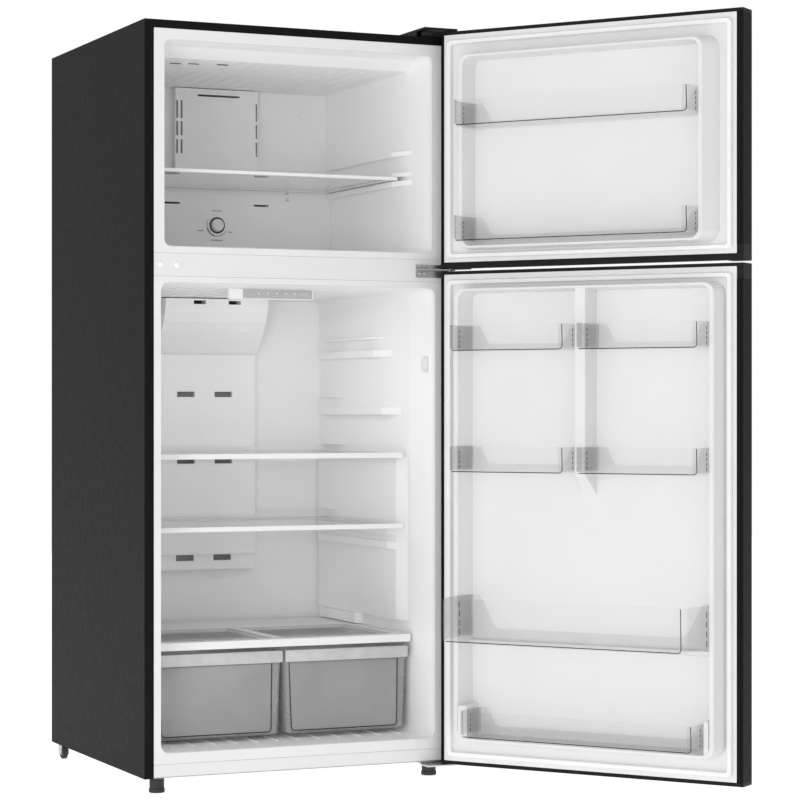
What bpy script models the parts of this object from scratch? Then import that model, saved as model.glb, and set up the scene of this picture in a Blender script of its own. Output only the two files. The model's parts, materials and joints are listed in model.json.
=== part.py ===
"""Top freezer refrigerator with both doors open: every piece as its own closed solid."""
import math

import bmesh
import bpy
from mathutils import Matrix, Vector

# Overall sizes in metres. X runs to the viewer's right, the front faces -Y, Z points up.
CASE_WIDTH = 0.728
CASE_DEPTH = 0.693
CASE_HEIGHT = 1.640
FOOT_HEIGHT = 0.035
SHEET = 0.001
CLEAR = 0.0004
HALF = CASE_WIDTH / 2
FLANGE_SIDE = 0.0210
FLANGE_TOP = 0.0180

# White front face of the cabinet.
FACE_HALF = HALF - FLANGE_SIDE - CLEAR
FACE_TOP = CASE_HEIGHT - FLANGE_TOP - CLEAR
LINER = 0.002
FREEZER_SPLIT = 1.1360
FRIDGE_SPLIT = 1.0855
TOE_TOP = 0.0300

# Liner cross-sections as (depth, half width, floor, ceiling, corner radius).
FREEZER_SECTIONS = [
    (0.000, 0.3189, 1.1504, 1.5990, 0.015),
    (0.005, 0.3170, 1.1522, 1.5972, 0.014),
    (0.055, 0.3128, 1.1545, 1.5925, 0.013),
    (0.108, 0.3085, 1.1570, 1.5740, 0.012),
    (0.648, 0.2915, 1.1630, 1.5670, 0.010),
]
FRIDGE_SECTIONS = [
    (0.000, 0.3266, 0.0533, 1.0733, 0.019),
    (0.005, 0.3248, 0.0550, 1.0718, 0.018),
    (0.115, 0.3180, 0.0565, 1.0700, 0.018),
    (0.425, 0.3150, 0.0580, 1.0665, 0.020),
    (0.445, 0.3148, 0.2560, 1.0663, 0.018),
    (0.648, 0.3130, 0.2600, 1.0645, 0.016),
]

# Doors. Door coordinates are s along the width from the hinge side, and m outward from the inner face.
DOOR_OPEN = math.radians(125.69)
DOOR_THICK = 0.055
DOOR_GAP = 0.0102
HINGE_EDGE = 0.0115
HINGE_DEPTH = 0.0150
AXIS_X = HALF - HINGE_EDGE
AXIS_Y = -(DOOR_GAP + HINGE_DEPTH)
DOOR_ROUND = 0.009
WHITE_HINGE = 0.0050
WHITE_FREE = 0.0147
DIKE = 0.050
PIN_RADIUS = 0.004
PIN_HOLE = 0.0050

# Door spans and inner white panels, bottom to top.
FREEZER_DOOR = (1.1146, 1.6488)
FREEZER_WHITE = (1.1288, 1.6407)
FRIDGE_DOOR = (-0.0023, 1.1086)
FRIDGE_WHITE = (0.0062, 1.1010)
CAP = 0.034
END_CAP = 0.008

# Shelves and drawers.
FREEZER_SHELF_Z = 1.3245
UPPER_SHELF_Z = 0.6860
LOWER_SHELF_Z = 0.5240
SHELF_FRONT = 0.118
CRISPER_FRONT = 0.107
CRISPER_BACK = 0.418
CRISPER_FLOOR = 0.0660
CRISPER_RIM = 0.2560
CRISPER_OUTER = 0.3060
CRISPER_INNER = 0.0030

BLACK = (0.022, 0.022, 0.023)
WHITE = (0.86, 0.86, 0.855)


def clear_scene():
    for item in list(bpy.data.objects):
        bpy.data.objects.remove(item, do_unlink=True)


def make_material(name, color, roughness, metallic=0.0, alpha=1.0):
    material = bpy.data.materials.new(name)
    material.use_nodes = True
    shader = material.node_tree.nodes["Principled BSDF"]
    shader.inputs["Base Color"].default_value = (*color, 1.0)
    shader.inputs["Roughness"].default_value = roughness
    shader.inputs["Metallic"].default_value = metallic
    shader.inputs["Alpha"].default_value = alpha
    return material


def make_empty(name, parent, location):
    empty = bpy.data.objects.new(name, None)
    empty.parent = parent
    empty.location = location
    bpy.context.scene.collection.objects.link(empty)
    return empty


def place(name, mesh, finish, parent, origin=(0.0, 0.0, 0.0)):
    """Put a mesh, given in its parent's frame, on an object whose own origin is `origin`."""
    color, roughness, metallic, alpha = finish
    item = bpy.data.objects.new(name, mesh)
    mesh.name = name
    mesh.transform(Matrix.Translation(-Vector(origin)))
    item.parent = parent
    item.location = origin
    mesh.materials.clear()
    mesh.materials.append(make_material(name + "_finish", color, roughness, metallic, alpha))
    bpy.context.scene.collection.objects.link(item)
    return item


def mesh_from(verts, faces):
    mesh = bpy.data.meshes.new("body")
    mesh.from_pydata(verts, [], faces)
    body = bmesh.new()
    body.from_mesh(mesh)
    bmesh.ops.recalc_face_normals(body, faces=body.faces)
    body.to_mesh(mesh)
    body.free()
    return mesh


def loft(rings, wrap=False):
    """Skin a list of equal rings. The ends are capped unless the last ring joins the first."""
    count = len(rings[0])
    verts = [point for ring in rings for point in ring]
    faces = []
    last = len(rings) if wrap else len(rings) - 1
    for i in range(last):
        a = i * count
        b = ((i + 1) % len(rings)) * count
        for j in range(count):
            k = (j + 1) % count
            faces.append((a + j, a + k, b + k, b + j))
    if not wrap:
        faces.append(tuple(range(count)))
        faces.append(tuple(range((len(rings) - 1) * count, len(rings) * count)))
    return mesh_from(verts, faces)


def round_polygon(points, radius, steps=4):
    """Round every corner of a convex outline with an arc of the given radius."""
    outline = []
    count = len(points)
    for i in range(count):
        corner = Vector(points[i])
        before = (Vector(points[i - 1]) - corner).normalized()
        after = (Vector(points[(i + 1) % count]) - corner).normalized()
        half = before.angle(after) / 2
        reach = radius / math.tan(half)
        start = corner + before * reach
        end = corner + after * reach
        center = corner + (before + after).normalized() * (radius / math.sin(half))
        turn = math.pi - 2 * half
        first = start - center
        side = (end - center) - first * math.cos(turn)
        side = side / math.sin(turn)
        for k in range(steps + 1):
            t = turn * k / steps
            outline.append(tuple(center + first * math.cos(t) + side * math.sin(t)))
    return outline


def inset_polygon(points, amount):
    """Move every side of a convex, counter-clockwise outline inward by the same amount."""
    result = []
    count = len(points)
    for i in range(count):
        a, b, c = Vector(points[i - 1]), Vector(points[i]), Vector(points[(i + 1) % count])
        u, v = (b - a).normalized(), (c - b).normalized()
        n1, n2 = Vector((-u.y, u.x)), Vector((-v.y, v.x))
        bisector = (n1 + n2).normalized()
        result.append(tuple(b + bisector * (amount / max(bisector.dot(n1), 0.2))))
    return result


def rect(x0, x1, y0, y1):
    return [(x0, y0), (x1, y0), (x1, y1), (x0, y1)]


def ring_z(outline, z):
    return [(x, y, z) for x, y in outline]


def ring_y(outline, y):
    return [(x, y, z) for x, z in outline]


def prism_x(profile, x0, x1):
    """Extrude a (y, z) profile along X."""
    return loft([[(x0, y, z) for y, z in profile], [(x1, y, z) for y, z in profile]])


def prism_z(outline, z0, z1):
    return loft([ring_z(outline, z0), ring_z(outline, z1)])


def box(x0, x1, y0, y1, z0, z1):
    return prism_z(rect(x0, x1, y0, y1), z0, z1)


def turned(profile, center, axis="Z", steps=20, hollow=False):
    """Turn a (radius, height) profile around an axis through `center`.

    The ends are capped, unless the profile is a closed loop around a hollow."""
    rings = []
    for radius, height in profile:
        ring = []
        for i in range(steps):
            angle = 2 * math.pi * i / steps
            u, v = radius * math.cos(angle), radius * math.sin(angle)
            point = {"X": (height, u, v), "Y": (v, height, u), "Z": (u, v, height)}[axis]
            ring.append(tuple(Vector(center) + Vector(point)))
        rings.append(ring)
    return loft(rings, wrap=hollow)


def cylinder(center, radius, z0, z1, steps=16):
    return turned([(radius, z0), (radius, z1)], (center[0], center[1], 0.0), "Z", steps)


def joined(meshes):
    body = bmesh.new()
    for mesh in meshes:
        body.from_mesh(mesh)
    result = bpy.data.meshes.new("joined")
    body.to_mesh(result)
    body.free()
    return result


def boolean(mesh, others, operation):
    """Exact Boolean of one mesh with a list of tool meshes."""
    base = bpy.data.objects.new("base", mesh)
    tool = bpy.data.objects.new("tool", joined(others))
    for item in (base, tool):
        bpy.context.scene.collection.objects.link(item)
    modifier = base.modifiers.new("boolean", "BOOLEAN")
    modifier.operation = operation
    modifier.solver = "EXACT"
    modifier.object = tool
    bpy.context.view_layer.update()
    graph = bpy.context.evaluated_depsgraph_get()
    result = bpy.data.meshes.new_from_object(base.evaluated_get(graph))
    bpy.data.objects.remove(base, do_unlink=True)
    bpy.data.objects.remove(tool, do_unlink=True)
    return result


def cut(mesh, others):
    return boolean(mesh, others, "DIFFERENCE")


def fuse(mesh, others):
    for other in others:
        mesh = boolean(mesh, [other], "UNION")
    return mesh


def cells(xs, ys, zs, solid):
    """Closed solid made of the grid cells for which solid(i, j, k) is true."""
    sizes = (len(xs) - 1, len(ys) - 1, len(zs) - 1)
    index = {}
    verts = []
    faces = []

    def vertex(i, j, k):
        key = (i, j, k)
        if key not in index:
            index[key] = len(verts)
            verts.append((xs[i], ys[j], zs[k]))
        return index[key]

    def filled(i, j, k):
        inside = 0 <= i < sizes[0] and 0 <= j < sizes[1] and 0 <= k < sizes[2]
        return inside and solid(i, j, k)

    sides = [
        ((1, 0, 0), ((1, 0, 0), (1, 1, 0), (1, 1, 1), (1, 0, 1))),
        ((-1, 0, 0), ((0, 0, 0), (0, 0, 1), (0, 1, 1), (0, 1, 0))),
        ((0, 1, 0), ((0, 1, 0), (0, 1, 1), (1, 1, 1), (1, 1, 0))),
        ((0, -1, 0), ((0, 0, 0), (1, 0, 0), (1, 0, 1), (0, 0, 1))),
        ((0, 0, 1), ((0, 0, 1), (1, 0, 1), (1, 1, 1), (0, 1, 1))),
        ((0, 0, -1), ((0, 0, 0), (0, 1, 0), (1, 1, 0), (1, 0, 0))),
    ]
    for i in range(sizes[0]):
        for j in range(sizes[1]):
            for k in range(sizes[2]):
                if not filled(i, j, k):
                    continue
                for step, corners in sides:
                    if not filled(i + step[0], j + step[1], k + step[2]):
                        faces.append(tuple(vertex(i + a, j + b, k + c) for a, b, c in corners))
    return mesh_from(verts, faces)


def smooth(item, angle=35.0):
    item.data.shade_smooth()
    item.data.set_sharp_from_angle(angle=math.radians(angle))
    return item


def painted(color=BLACK):
    return (color, 0.42, 0.0, 1.0)


def white(shade=1.0):
    return (tuple(c * shade for c in WHITE), 0.35, 0.0, 1.0)


def clear_plastic():
    return ((0.90, 0.92, 0.92), 0.12, 0.0, 0.3)


# ---------------------------------------------------------------- cabinet

def wall_depth(depth, grow):
    """Depth of a section on a surface offset by `grow`: only the deep ones face the front."""
    return depth + grow if depth > 0.4 else depth


def section_ring(section, grow, depth):
    """Rounded outline of one liner section, offset by `grow` and placed at `depth`."""
    half, low, high, radius = section[1:]
    outline = rect(-half - grow, half + grow, low - grow, high + grow)
    return ring_y(round_polygon(outline, radius + grow), depth)


def liner_rings(sections, grow, face):
    """Rings of a liner tub from the outside of its back wall to the inside of its back wall."""
    flange_half, flange_low, flange_high = face
    edge = round_polygon(rect(-flange_half, flange_half, flange_low, flange_high), 0.001)
    rings = [section_ring(section, grow, wall_depth(section[0], grow)) for section in reversed(sections[1:])]
    rings.append(section_ring(sections[0], grow, grow))
    rings += [ring_y(edge, grow), ring_y(edge, 0.0)]
    rings += [section_ring(section, 0.0, section[0]) for section in sections]
    return rings


def liner_cutter(sections, grow):
    """Solid plug that follows the inside of a liner tub, larger or smaller by `grow`."""
    rings = [section_ring(sections[0], grow, -0.010)]
    rings += [section_ring(section, grow, wall_depth(section[0], grow)) for section in sections[1:]]
    return loft(rings)


def moulded(sections, meshes):
    """Clip raised details so that they end inside the thickness of the liner wall."""
    plug = liner_cutter(sections, LINER / 2)
    return [boolean(mesh, [plug], "INTERSECT") for mesh in meshes]


def mirrored_boxes(x0, x1, y0, y1, z0, z1):
    return [box(x0, x1, y0, y1, z0, z1), box(-x1, -x0, y0, y1, z0, z1)]


def rails(inner, y0, y1, low, high, lead=0.110):
    """Ledges on both side walls. The front end of each slopes back into its wall."""
    outer = 0.3300
    made = []
    for side in (1, -1):
        rings = []
        for y, reach in ((y0, outer - 0.0008), (y0 + lead, inner), (y1, inner)):
            tip = [(reach + 0.0006, low), (reach, low + 0.0014), (reach, high)]
            outline = [(outer, low)] + tip + [(outer, high)]
            rings.append(ring_y([(side * x, z) for x, z in outline], y))
        made.append(loft(rings))
    return made


def build_case(root):
    xs = [-HALF, -HALF + SHEET, -HALF + FLANGE_SIDE, HALF - FLANGE_SIDE, HALF - SHEET, HALF]
    ys = [0.0, SHEET, CASE_DEPTH]
    zs = [0.0, CASE_HEIGHT - FLANGE_TOP, CASE_HEIGHT - SHEET, CASE_HEIGHT]

    def solid(i, j, k):
        if i in (0, 4) or k == 2:
            return True
        return j == 0 and (i in (1, 3) or k == 1)

    place("outer_case", cells(xs, ys, zs, solid), painted(), root)
    edge = HALF - 0.0015
    rear = box(-edge, edge, CASE_DEPTH - 0.0014, CASE_DEPTH - 0.0002, 0.240, CASE_HEIGHT - 0.0015)
    place("rear_panel", rear, ((0.45, 0.46, 0.47), 0.45, 0.6, 1.0), root)


def switch_pocket():
    """Well in the right-hand wall that the door switch moves in."""
    return box(0.3100, 0.3310, 0.0324, 0.0506, 0.8874, 0.9126)


def build_foam(root):
    edge = HALF - SHEET - CLEAR
    foam = box(-edge, edge, 0.0046, CASE_DEPTH - 0.0018, 0.0035, CASE_HEIGHT - SHEET - CLEAR)
    machine_room = box(-HALF, HALF, 0.468, CASE_DEPTH, -0.01, 0.236)
    grow = LINER + CLEAR
    tools = [machine_room, liner_cutter(FREEZER_SECTIONS, grow), liner_cutter(FRIDGE_SECTIONS, grow)]
    foam = cut(cut(foam, tools), [switch_pocket()])
    place("cabinet_foam", foam, ((0.80, 0.72, 0.50), 0.9, 0.0, 1.0), root)


def freezer_half(depth):
    """Half width of the freezer compartment behind the front flare."""
    front, back = FREEZER_SECTIONS[3], FREEZER_SECTIONS[4]
    return front[1] + (back[1] - front[1]) * (depth - front[0]) / (back[0] - front[0])


def build_liners(root):
    freezer = loft(liner_rings(FREEZER_SECTIONS, LINER, (FACE_HALF, FREEZER_SPLIT, FACE_TOP)))
    ledges = []
    for low, high in ((1.3120, FREEZER_SHELF_Z - CLEAR), (1.3340, 1.3425), (1.3810, 1.3915)):
        ledges += rails(0.2860, 0.039, 0.535, low, high)
    freezer = fuse(freezer, moulded(FREEZER_SECTIONS, ledges))
    smooth(place("freezer_liner", freezer, white(), root))

    fridge = loft(liner_rings(FRIDGE_SECTIONS, LINER, (FACE_HALF, TOE_TOP, FRIDGE_SPLIT)))
    top = UPPER_SHELF_Z - CLEAR
    plan = [(0.3300, 0.085), (0.3065, 0.170), (0.3065, 0.640), (0.3300, 0.640)]
    panels = [prism_z([(side * x, y) for x, y in plan], 0.3095, top) for side in (1, -1)]
    fridge = fuse(fridge, moulded(FRIDGE_SECTIONS, panels))
    ledges = []
    for top, front, stop in ((0.9380, 0.174, 0.219), (0.8020, 0.124, 0.439)):
        ledges += rails(0.2990, front, 0.620, top - 0.017, top)
        ledges += rails(0.2990, stop, 0.620, top + 0.026, top + 0.031)
    for top in (LOWER_SHELF_Z - CLEAR, 0.4900):
        ledges += rails(0.2970, 0.089, 0.620, top - 0.017, top)
    for low in (0.7120, 0.5520):
        ledges += rails(0.2980, 0.439, 0.620, low, low + 0.0050)
    ledges += rails(0.3020, 0.370, 0.620, 0.2840, 0.3090, lead=0.030)
    fridge = cut(fuse(fridge, moulded(FRIDGE_SECTIONS, ledges)), [switch_pocket()])
    smooth(place("fridge_liner", fridge, white(), root))


def build_face_strips(root):
    mullion = box(-FACE_HALF, FACE_HALF, 0.0, 0.0040, FRIDGE_SPLIT + CLEAR, FREEZER_SPLIT - CLEAR)
    screws = []
    for x in (-0.3269, -0.2904):
        screws.append(turned([(0.0048, -0.0008), (0.0056, 0.0010)], (x, 0, 1.1111), "Y"))
    place("mullion_cover", fuse(mullion, screws), white(), root)
    toe = box(-FACE_HALF, FACE_HALF, 0.0, 0.0040, 0.0030, TOE_TOP - CLEAR)
    place("toe_trim", toe, white(0.98), root)


def build_freezer_back(root):
    back = 0.5600
    edge = freezer_half(back) - 0.0030
    shelf_line = 1.3690
    xs = [-edge, -0.1050, 0.1060, edge]
    ys = [0.5350, 0.5375, 0.5575, back]
    zs = [1.1650, shelf_line, 1.5665]

    def solid(i, j, k):
        if k == 0:
            return True
        return j == 2 or (i == 1 and j >= 1)

    cover = boolean(cells(xs, ys, zs, solid), [liner_cutter(FREEZER_SECTIONS, -0.0005)], "INTERSECT")
    slots = [box(-0.048, 0.059, 0.50, 0.60, 1.5482, 1.5532)]
    for low, high in ((1.4940, 1.5365), (1.4525, 1.4860), (1.4090, 1.4430)):
        for left, right in ((-0.1028, -0.0982), (-0.0916, -0.0870), (0.1000, 0.1042)):
            slots.append(box(left, right, 0.50, 0.60, low, high))
    for level in (1.3612, 1.2905):
        slots += mirrored_boxes(0.0945, 0.1330, 0.50, 0.60, level - 0.0024, level + 0.0024)
    place("evaporator_cover", cut(cover, slots), white(0.97), root)

    fins = 22
    xs = []
    for i in range(fins):
        start = -0.190 + 0.380 * i / (fins - 1)
        xs += [start - 0.0015, start + 0.0015]
    ys = [0.585, 0.600, 0.612, 0.628]
    zs = [1.195, 1.225, 1.237, 1.285, 1.297, 1.345, 1.357, 1.390]

    def finned(i, j, k):
        return i % 2 == 0 or (j == 1 and k in (1, 3, 5))

    place("evaporator_coil", cells(xs, ys, zs, finned), ((0.75, 0.76, 0.77), 0.35, 0.9, 1.0), root)


def build_fan(root):
    center = (0.0, 0.600, 1.485)
    motor = turned([(0.026, 0.012), (0.030, 0.016), (0.030, 0.038)], center, "Y")
    arms = [
        box(-0.075, 0.075, 0.6390, 0.6450, 1.4800, 1.4900),
        box(-0.010, 0.010, 0.6300, 0.6450, 1.4750, 1.4950),
    ]
    place("fan_motor", fuse(motor, arms), ((0.10, 0.10, 0.11), 0.5, 0.0, 1.0), root)
    hub = turned([(0.014, -0.018), (0.017, -0.014), (0.017, 0.010)], center, "Y")
    blades = []
    for i in range(5):
        blade = box(0.012, 0.048, -0.0012, 0.0012, -0.016, 0.016)
        turn = Matrix.Rotation(2 * math.pi * i / 5, 4, "Y") @ Matrix.Rotation(math.radians(28), 4, "X")
        blade.transform(Matrix.Translation((center[0], center[1] - 0.004, center[2])) @ turn)
        blades.append(blade)
    place("evaporator_fan", fuse(hub, blades), ((0.88, 0.88, 0.86), 0.5, 0.0, 1.0), root, center)


def build_knob(root):
    center = (0.0, 0.5345, 1.2400)
    knob = turned([(0.0125, -0.0100), (0.0145, -0.0080), (0.0160, -0.0001)], center, "Y", 24)
    front = center[1] - 0.0108
    pointer = box(-0.0010, 0.0010, front, front + 0.0013, center[2] + 0.003, center[2] + 0.012)
    smooth(place("temperature_knob", fuse(knob, [pointer]), white(0.95), root, center))


def build_duct(root):
    back = 0.6470
    profile = [
        (back, 0.4075), (0.6300, 0.4075), (0.6300, 0.4450), (0.6220, 0.4450),
        (0.6220, 0.9300), (0.6080, 0.9350), (0.5960, 0.9480), (0.5800, 0.9660),
        (0.5630, 0.9860), (0.5480, 1.0080), (0.5380, 1.0300), (0.5330, 1.0480),
        (0.5320, 1.0632), (back, 1.0632),
    ]
    duct = prism_x(profile, -0.1310, 0.1310)
    slots = []
    for low, high in ((0.8276, 0.8408), (0.6655, 0.6785), (0.4290, 0.4435)):
        slots += mirrored_boxes(0.0255, 0.0710, 0.600, 0.6380, low, high)
    slots += mirrored_boxes(0.0290, 0.0600, 0.500, 0.5700, 1.0500, 1.0590)
    slots += mirrored_boxes(0.1200, 0.1400, 0.5600, 0.6000, 1.0250, 1.0550)
    place("fridge_air_duct", cut(duct, slots), white(0.98), root)


def build_control(root):
    profile = [(0.140, 1.0460), (0.400, 1.0575), (0.400, 1.0665), (0.140, 1.0692)]
    housing = prism_x(profile, -0.1180, 0.0860)
    taper = prism_z([(-0.1300, 0.1500), (-0.1181, 0.1500), (-0.0120, 0.4100), (-0.1300, 0.4100)], 1.0300, 1.0800)
    panel_seat = box(-0.0840, 0.0840, 0.1300, 0.1425, 1.0480, 1.0682)
    lens_seat = box(-0.0405, 0.0705, 0.2380, 0.3220, 1.0300, 1.0576)
    place("control_housing", cut(housing, [taper, panel_seat, lens_seat]), white(), root)
    panel = box(-0.0835, 0.0835, 0.1402, 0.1422, 1.0484, 1.0678)
    place("control_panel", panel, ((0.42, 0.45, 0.44), 0.35, 0.0, 1.0), root)
    lens = box(-0.0400, 0.0700, 0.2385, 0.3215, 1.0535, 1.0572)
    place("lamp_lens", lens, ((0.95, 0.96, 0.97), 0.25, 0.0, 0.8), root)


def build_crisper_cover(root):
    edge = 0.3110
    bar = 0.0110
    glass = 0.2820
    ledge = 0.0040
    xs = [-edge, -glass - ledge, -glass, -bar - ledge, -bar, bar, bar + ledge, glass, glass + ledge, edge]
    ys = [0.0965, 0.1130, 0.1300, 0.1340, 0.4300, 0.4340, 0.6400]
    zs = [0.2645, 0.2720, 0.2762, 0.2820]

    def solid(i, j, k):
        if j == 0:
            return True
        if k == 0:
            return False
        pane = i in (1, 2, 3, 5, 6, 7) and j in (2, 3, 4)
        if not pane:
            return True
        return k == 1 and not (i in (2, 6) and j == 3)

    place("crisper_cover", cells(xs, ys, zs, solid), white(), root)


def build_crisper_glass(root):
    inner, outer = 0.0110 + CLEAR, 0.2860 - CLEAR
    left = box(-outer, -inner, 0.1304, 0.4336, 0.2766, 0.2806)
    right = box(inner, outer, 0.1304, 0.4336, 0.2766, 0.2806)
    glass = ((0.80, 0.86, 0.85), 0.05, 0.0, 0.35)
    place("crisper_glass_left", left, glass, root)
    place("crisper_glass_right", right, glass, root)


def hinge_pin(low, high):
    return cylinder((AXIS_X, AXIS_Y), PIN_RADIUS, low, high)


def build_hinges(root):
    dark = ((0.03, 0.03, 0.03), 0.45, 0.3, 1.0)
    top = CASE_HEIGHT + CLEAR
    arm = FREEZER_DOOR[1] + 0.0012
    step = [
        (0.090, top), (0.090, top + 0.003), (0.016, top + 0.003), (0.010, arm + 0.003),
        (-0.038, arm + 0.003), (-0.038, arm), (0.006, arm), (0.012, top),
    ]
    plate = prism_x(step, 0.298, 0.3605)
    place("top_hinge", fuse(plate, [hinge_pin(arm - 0.0065, arm + 0.001)]), dark, root)

    xs = [0.2815, 0.2835, 0.3615, 0.3635]
    ys = [-0.0430, -0.0410, 0.0015, 0.1000, 0.1020]
    zs = [top, arm + CLEAR, arm + 0.0036, arm + 0.0056]

    def shell(i, j, k):
        if k == 2:
            return True
        wall = i in (0, 2) or j in (0, 3)
        return wall if k == 1 else wall and j >= 2

    place("top_hinge_cover", cells(xs, ys, zs, shell), painted((0.02, 0.02, 0.02)), root)

    low, high = FRIDGE_DOOR[1] + 0.0015, FREEZER_DOOR[0] - 0.0015
    flange = [
        (-0.0004, low - 0.015), (-0.0004, high + 0.011), (-0.0034, high + 0.011), (-0.0034, high),
        (-0.0380, high), (-0.0380, low), (-0.0034, low), (-0.0034, low - 0.015),
    ]
    plate = prism_x(flange, 0.2790, 0.3600)
    place("middle_hinge", fuse(plate, [hinge_pin(low - 0.0070, high + 0.0070)]), dark, root)

    floor = FRIDGE_DOOR[0] - 0.0012
    foot = [
        (0.016, -CLEAR), (0.016, -0.0030), (-0.001, -0.0065), (-0.038, -0.0065),
        (-0.038, floor), (-0.002, floor), (0.001, -CLEAR),
    ]
    plate = prism_x(foot, 0.2915, 0.3600)
    bright = ((0.62, 0.63, 0.63), 0.35, 0.9, 1.0)
    place("bottom_hinge", fuse(plate, [hinge_pin(-0.0050, floor + 0.0075)]), bright, root)


def build_base(root):
    edge = HALF - SHEET - CLEAR
    pan = box(-edge, edge, 0.0050, CASE_DEPTH - 0.0020, 0.0, 0.0020)
    brackets = []
    for side in (-1, 1):
        for near, far in ((0.3400, 0.3425), (0.3575, 0.3600)):
            x0, x1 = sorted((side * near, side * far))
            brackets.append(box(x0, x1, 0.630, 0.650, -0.0240, 0.0010))
        x0, x1 = sorted((side * 0.3410, side * 0.3590))
        axle = turned([(0.0025, x0), (0.0025, x1)], (0.0, 0.640, -0.0180), "X", 12)
        brackets.append(axle)
    place("base_pan", fuse(pan, brackets), ((0.60, 0.61, 0.62), 0.4, 0.8, 1.0), root)

    # Rear cover of the machine room, with rows of air slots.
    xs = [-HALF + 0.0015]
    for i in range(28):
        start = -0.300 + 0.600 * i / 27
        xs += [start - 0.0045, start + 0.0045]
    xs.append(HALF - 0.0015)
    ys = [CASE_DEPTH - 0.0016, CASE_DEPTH - 0.0004]
    zs = [0.004, 0.050, 0.110, 0.130, 0.190, 0.236]

    def perforated(i, j, k):
        return not (i % 2 == 1 and k in (1, 3))

    place("machine_cover", cells(xs, ys, zs, perforated), ((0.12, 0.12, 0.12), 0.6, 0.0, 1.0), root)


def build_cooling(root):
    center = (-0.170, 0.585)
    profile = [
        (0.0340, 0.070, 0.055), (0.0380, 0.088, 0.068), (0.0600, 0.094, 0.074), (0.0980, 0.095, 0.075),
        (0.1020, 0.091, 0.071), (0.1400, 0.088, 0.069), (0.1650, 0.074, 0.058),
        (0.1760, 0.050, 0.040), (0.1790, 0.020, 0.016),
    ]
    rings = []
    for height, rx, ry in profile:
        turns = [2 * math.pi * i / 24 for i in range(24)]
        rings.append([(center[0] + rx * math.cos(a), center[1] + ry * math.sin(a), height) for a in turns])
    feet = [box(center[0] - 0.100, center[0] + 0.100, center[1] - 0.045, center[1] + 0.045, 0.0240, 0.0345)]
    for x in (-0.085, 0.085):
        for y in (-0.032, 0.032):
            feet.append(cylinder((center[0] + x, center[1] + y), 0.011, 0.0024, 0.0250, 12))
    smooth(place("compressor", fuse(loft(rings), feet), ((0.03, 0.03, 0.03), 0.35, 0.1, 1.0), root))

    rows, passes = 4, 6
    path = []
    for row in range(rows):
        y = 0.520 + 0.040 * row
        levels = range(passes) if row % 2 == 0 else range(passes - 1, -1, -1)
        for level in levels:
            z = 0.035 + 0.030 * level
            ends = [(0.020, y, z), (0.320, y, z)]
            path += ends if (row * passes + level) % 2 == 0 else ends[::-1]
    place("condenser_coil", tube(path, 0.0035), ((0.05, 0.05, 0.05), 0.4, 0.4, 1.0), root)


def tube(path, radius, sides=6):
    """Round bar along a path of points, mitred at each corner."""
    points = [Vector(p) for p in path]
    rings = []
    across = Vector((0.0, 1.0, 0.0))
    for i, point in enumerate(points):
        before = (point - points[i - 1]).normalized() if i else (points[1] - point).normalized()
        after = (points[i + 1] - point).normalized() if i < len(points) - 1 else before
        along = (before + after).normalized()
        if abs(along.dot(across)) > 0.9:
            across = Vector((0.0, 0.0, 1.0))
        u = (across - along * across.dot(along)).normalized()
        v = along.cross(u)
        stretch = 1.0 / max(along.dot(after), 0.5)
        mitre = (after - before)
        mitre = mitre.normalized() if mitre.length > 1e-6 else u
        ring = []
        for k in range(sides):
            offset = (u * math.cos(2 * math.pi * k / sides) + v * math.sin(2 * math.pi * k / sides)) * radius
            offset += mitre * offset.dot(mitre) * (stretch - 1.0)
            ring.append(tuple(point + offset))
        rings.append(ring)
        across = u
    return loft(rings)


def build_feet(root):
    for name, x in (("front_foot_left", -0.3225), ("front_foot_right", 0.3300)):
        top, floor = -0.0004, -FOOT_HEIGHT
        profile = [(0.0150, top), (0.0160, top - 0.002), (0.0160, floor + 0.010), (0.0175, floor + 0.008)]
        profile += [(0.0175, floor + 0.002), (0.0160, floor)]
        foot = turned(profile, (x, 0.040, 0.0))
        smooth(place(name, foot, ((0.02, 0.02, 0.02), 0.6, 0.0, 1.0), root, (x, 0.040, 0.0)))
    for name, x in (("rear_roller_left", -0.3500), ("rear_roller_right", 0.3500)):
        center = (x, 0.640, -0.0180)
        tread = [(0.0150, -0.0065), (0.0170, -0.0050), (0.0170, 0.0050), (0.0150, 0.0065)]
        profile = [(0.0030, -0.0065)] + tread + [(0.0030, 0.0065)]
        roller = turned(profile, center, "X", hollow=True)
        smooth(place(name, roller, ((0.10, 0.10, 0.10), 0.5, 0.0, 1.0), root, center))


def build_switch(root):
    center = (0.3200, 0.0420, 0.9000)
    body = box(0.3150, 0.3252, 0.0330, 0.0500, 0.8880, 0.9120)
    place("door_switch", body, ((0.70, 0.70, 0.70), 0.4, 0.0, 1.0), root, center)


# ---------------------------------------------------------------- shelves and drawers

def build_shelf(name, root, base, half, back, bar_height, glass_top):
    """Glass pane dropped into a white frame with a deeper front bar."""
    front = SHELF_FRONT
    rail = 0.0090
    ledge = 0.0040
    xs = [-half, -half + rail, -half + rail + ledge, half - rail - ledge, half - rail, half]
    ys = [front, front + 0.0120, front + 0.0160, back - 0.0140, back - 0.0100, back]
    thin = bar_height - glass_top
    zs = [base, base + thin, base + thin + 0.0022, base + bar_height]

    def solid(i, j, k):
        if j == 0:
            return True
        if k == 0:
            return False
        if i in (0, 4) or j == 4:
            return True
        return k == 1 and not (i == 2 and j == 2)

    place(name + "_frame", cells(xs, ys, zs, solid), white(), root, (0.0, front, base))
    edge = half - rail - CLEAR
    low, high = base + thin + 0.0026, base + bar_height - 0.0004
    pane = box(-edge, edge, front + 0.0124, back - 0.0104, low, high)
    place(name + "_glass", pane, ((0.80, 0.86, 0.85), 0.05, 0.0, 0.35), root, (0.0, front, base))


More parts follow.
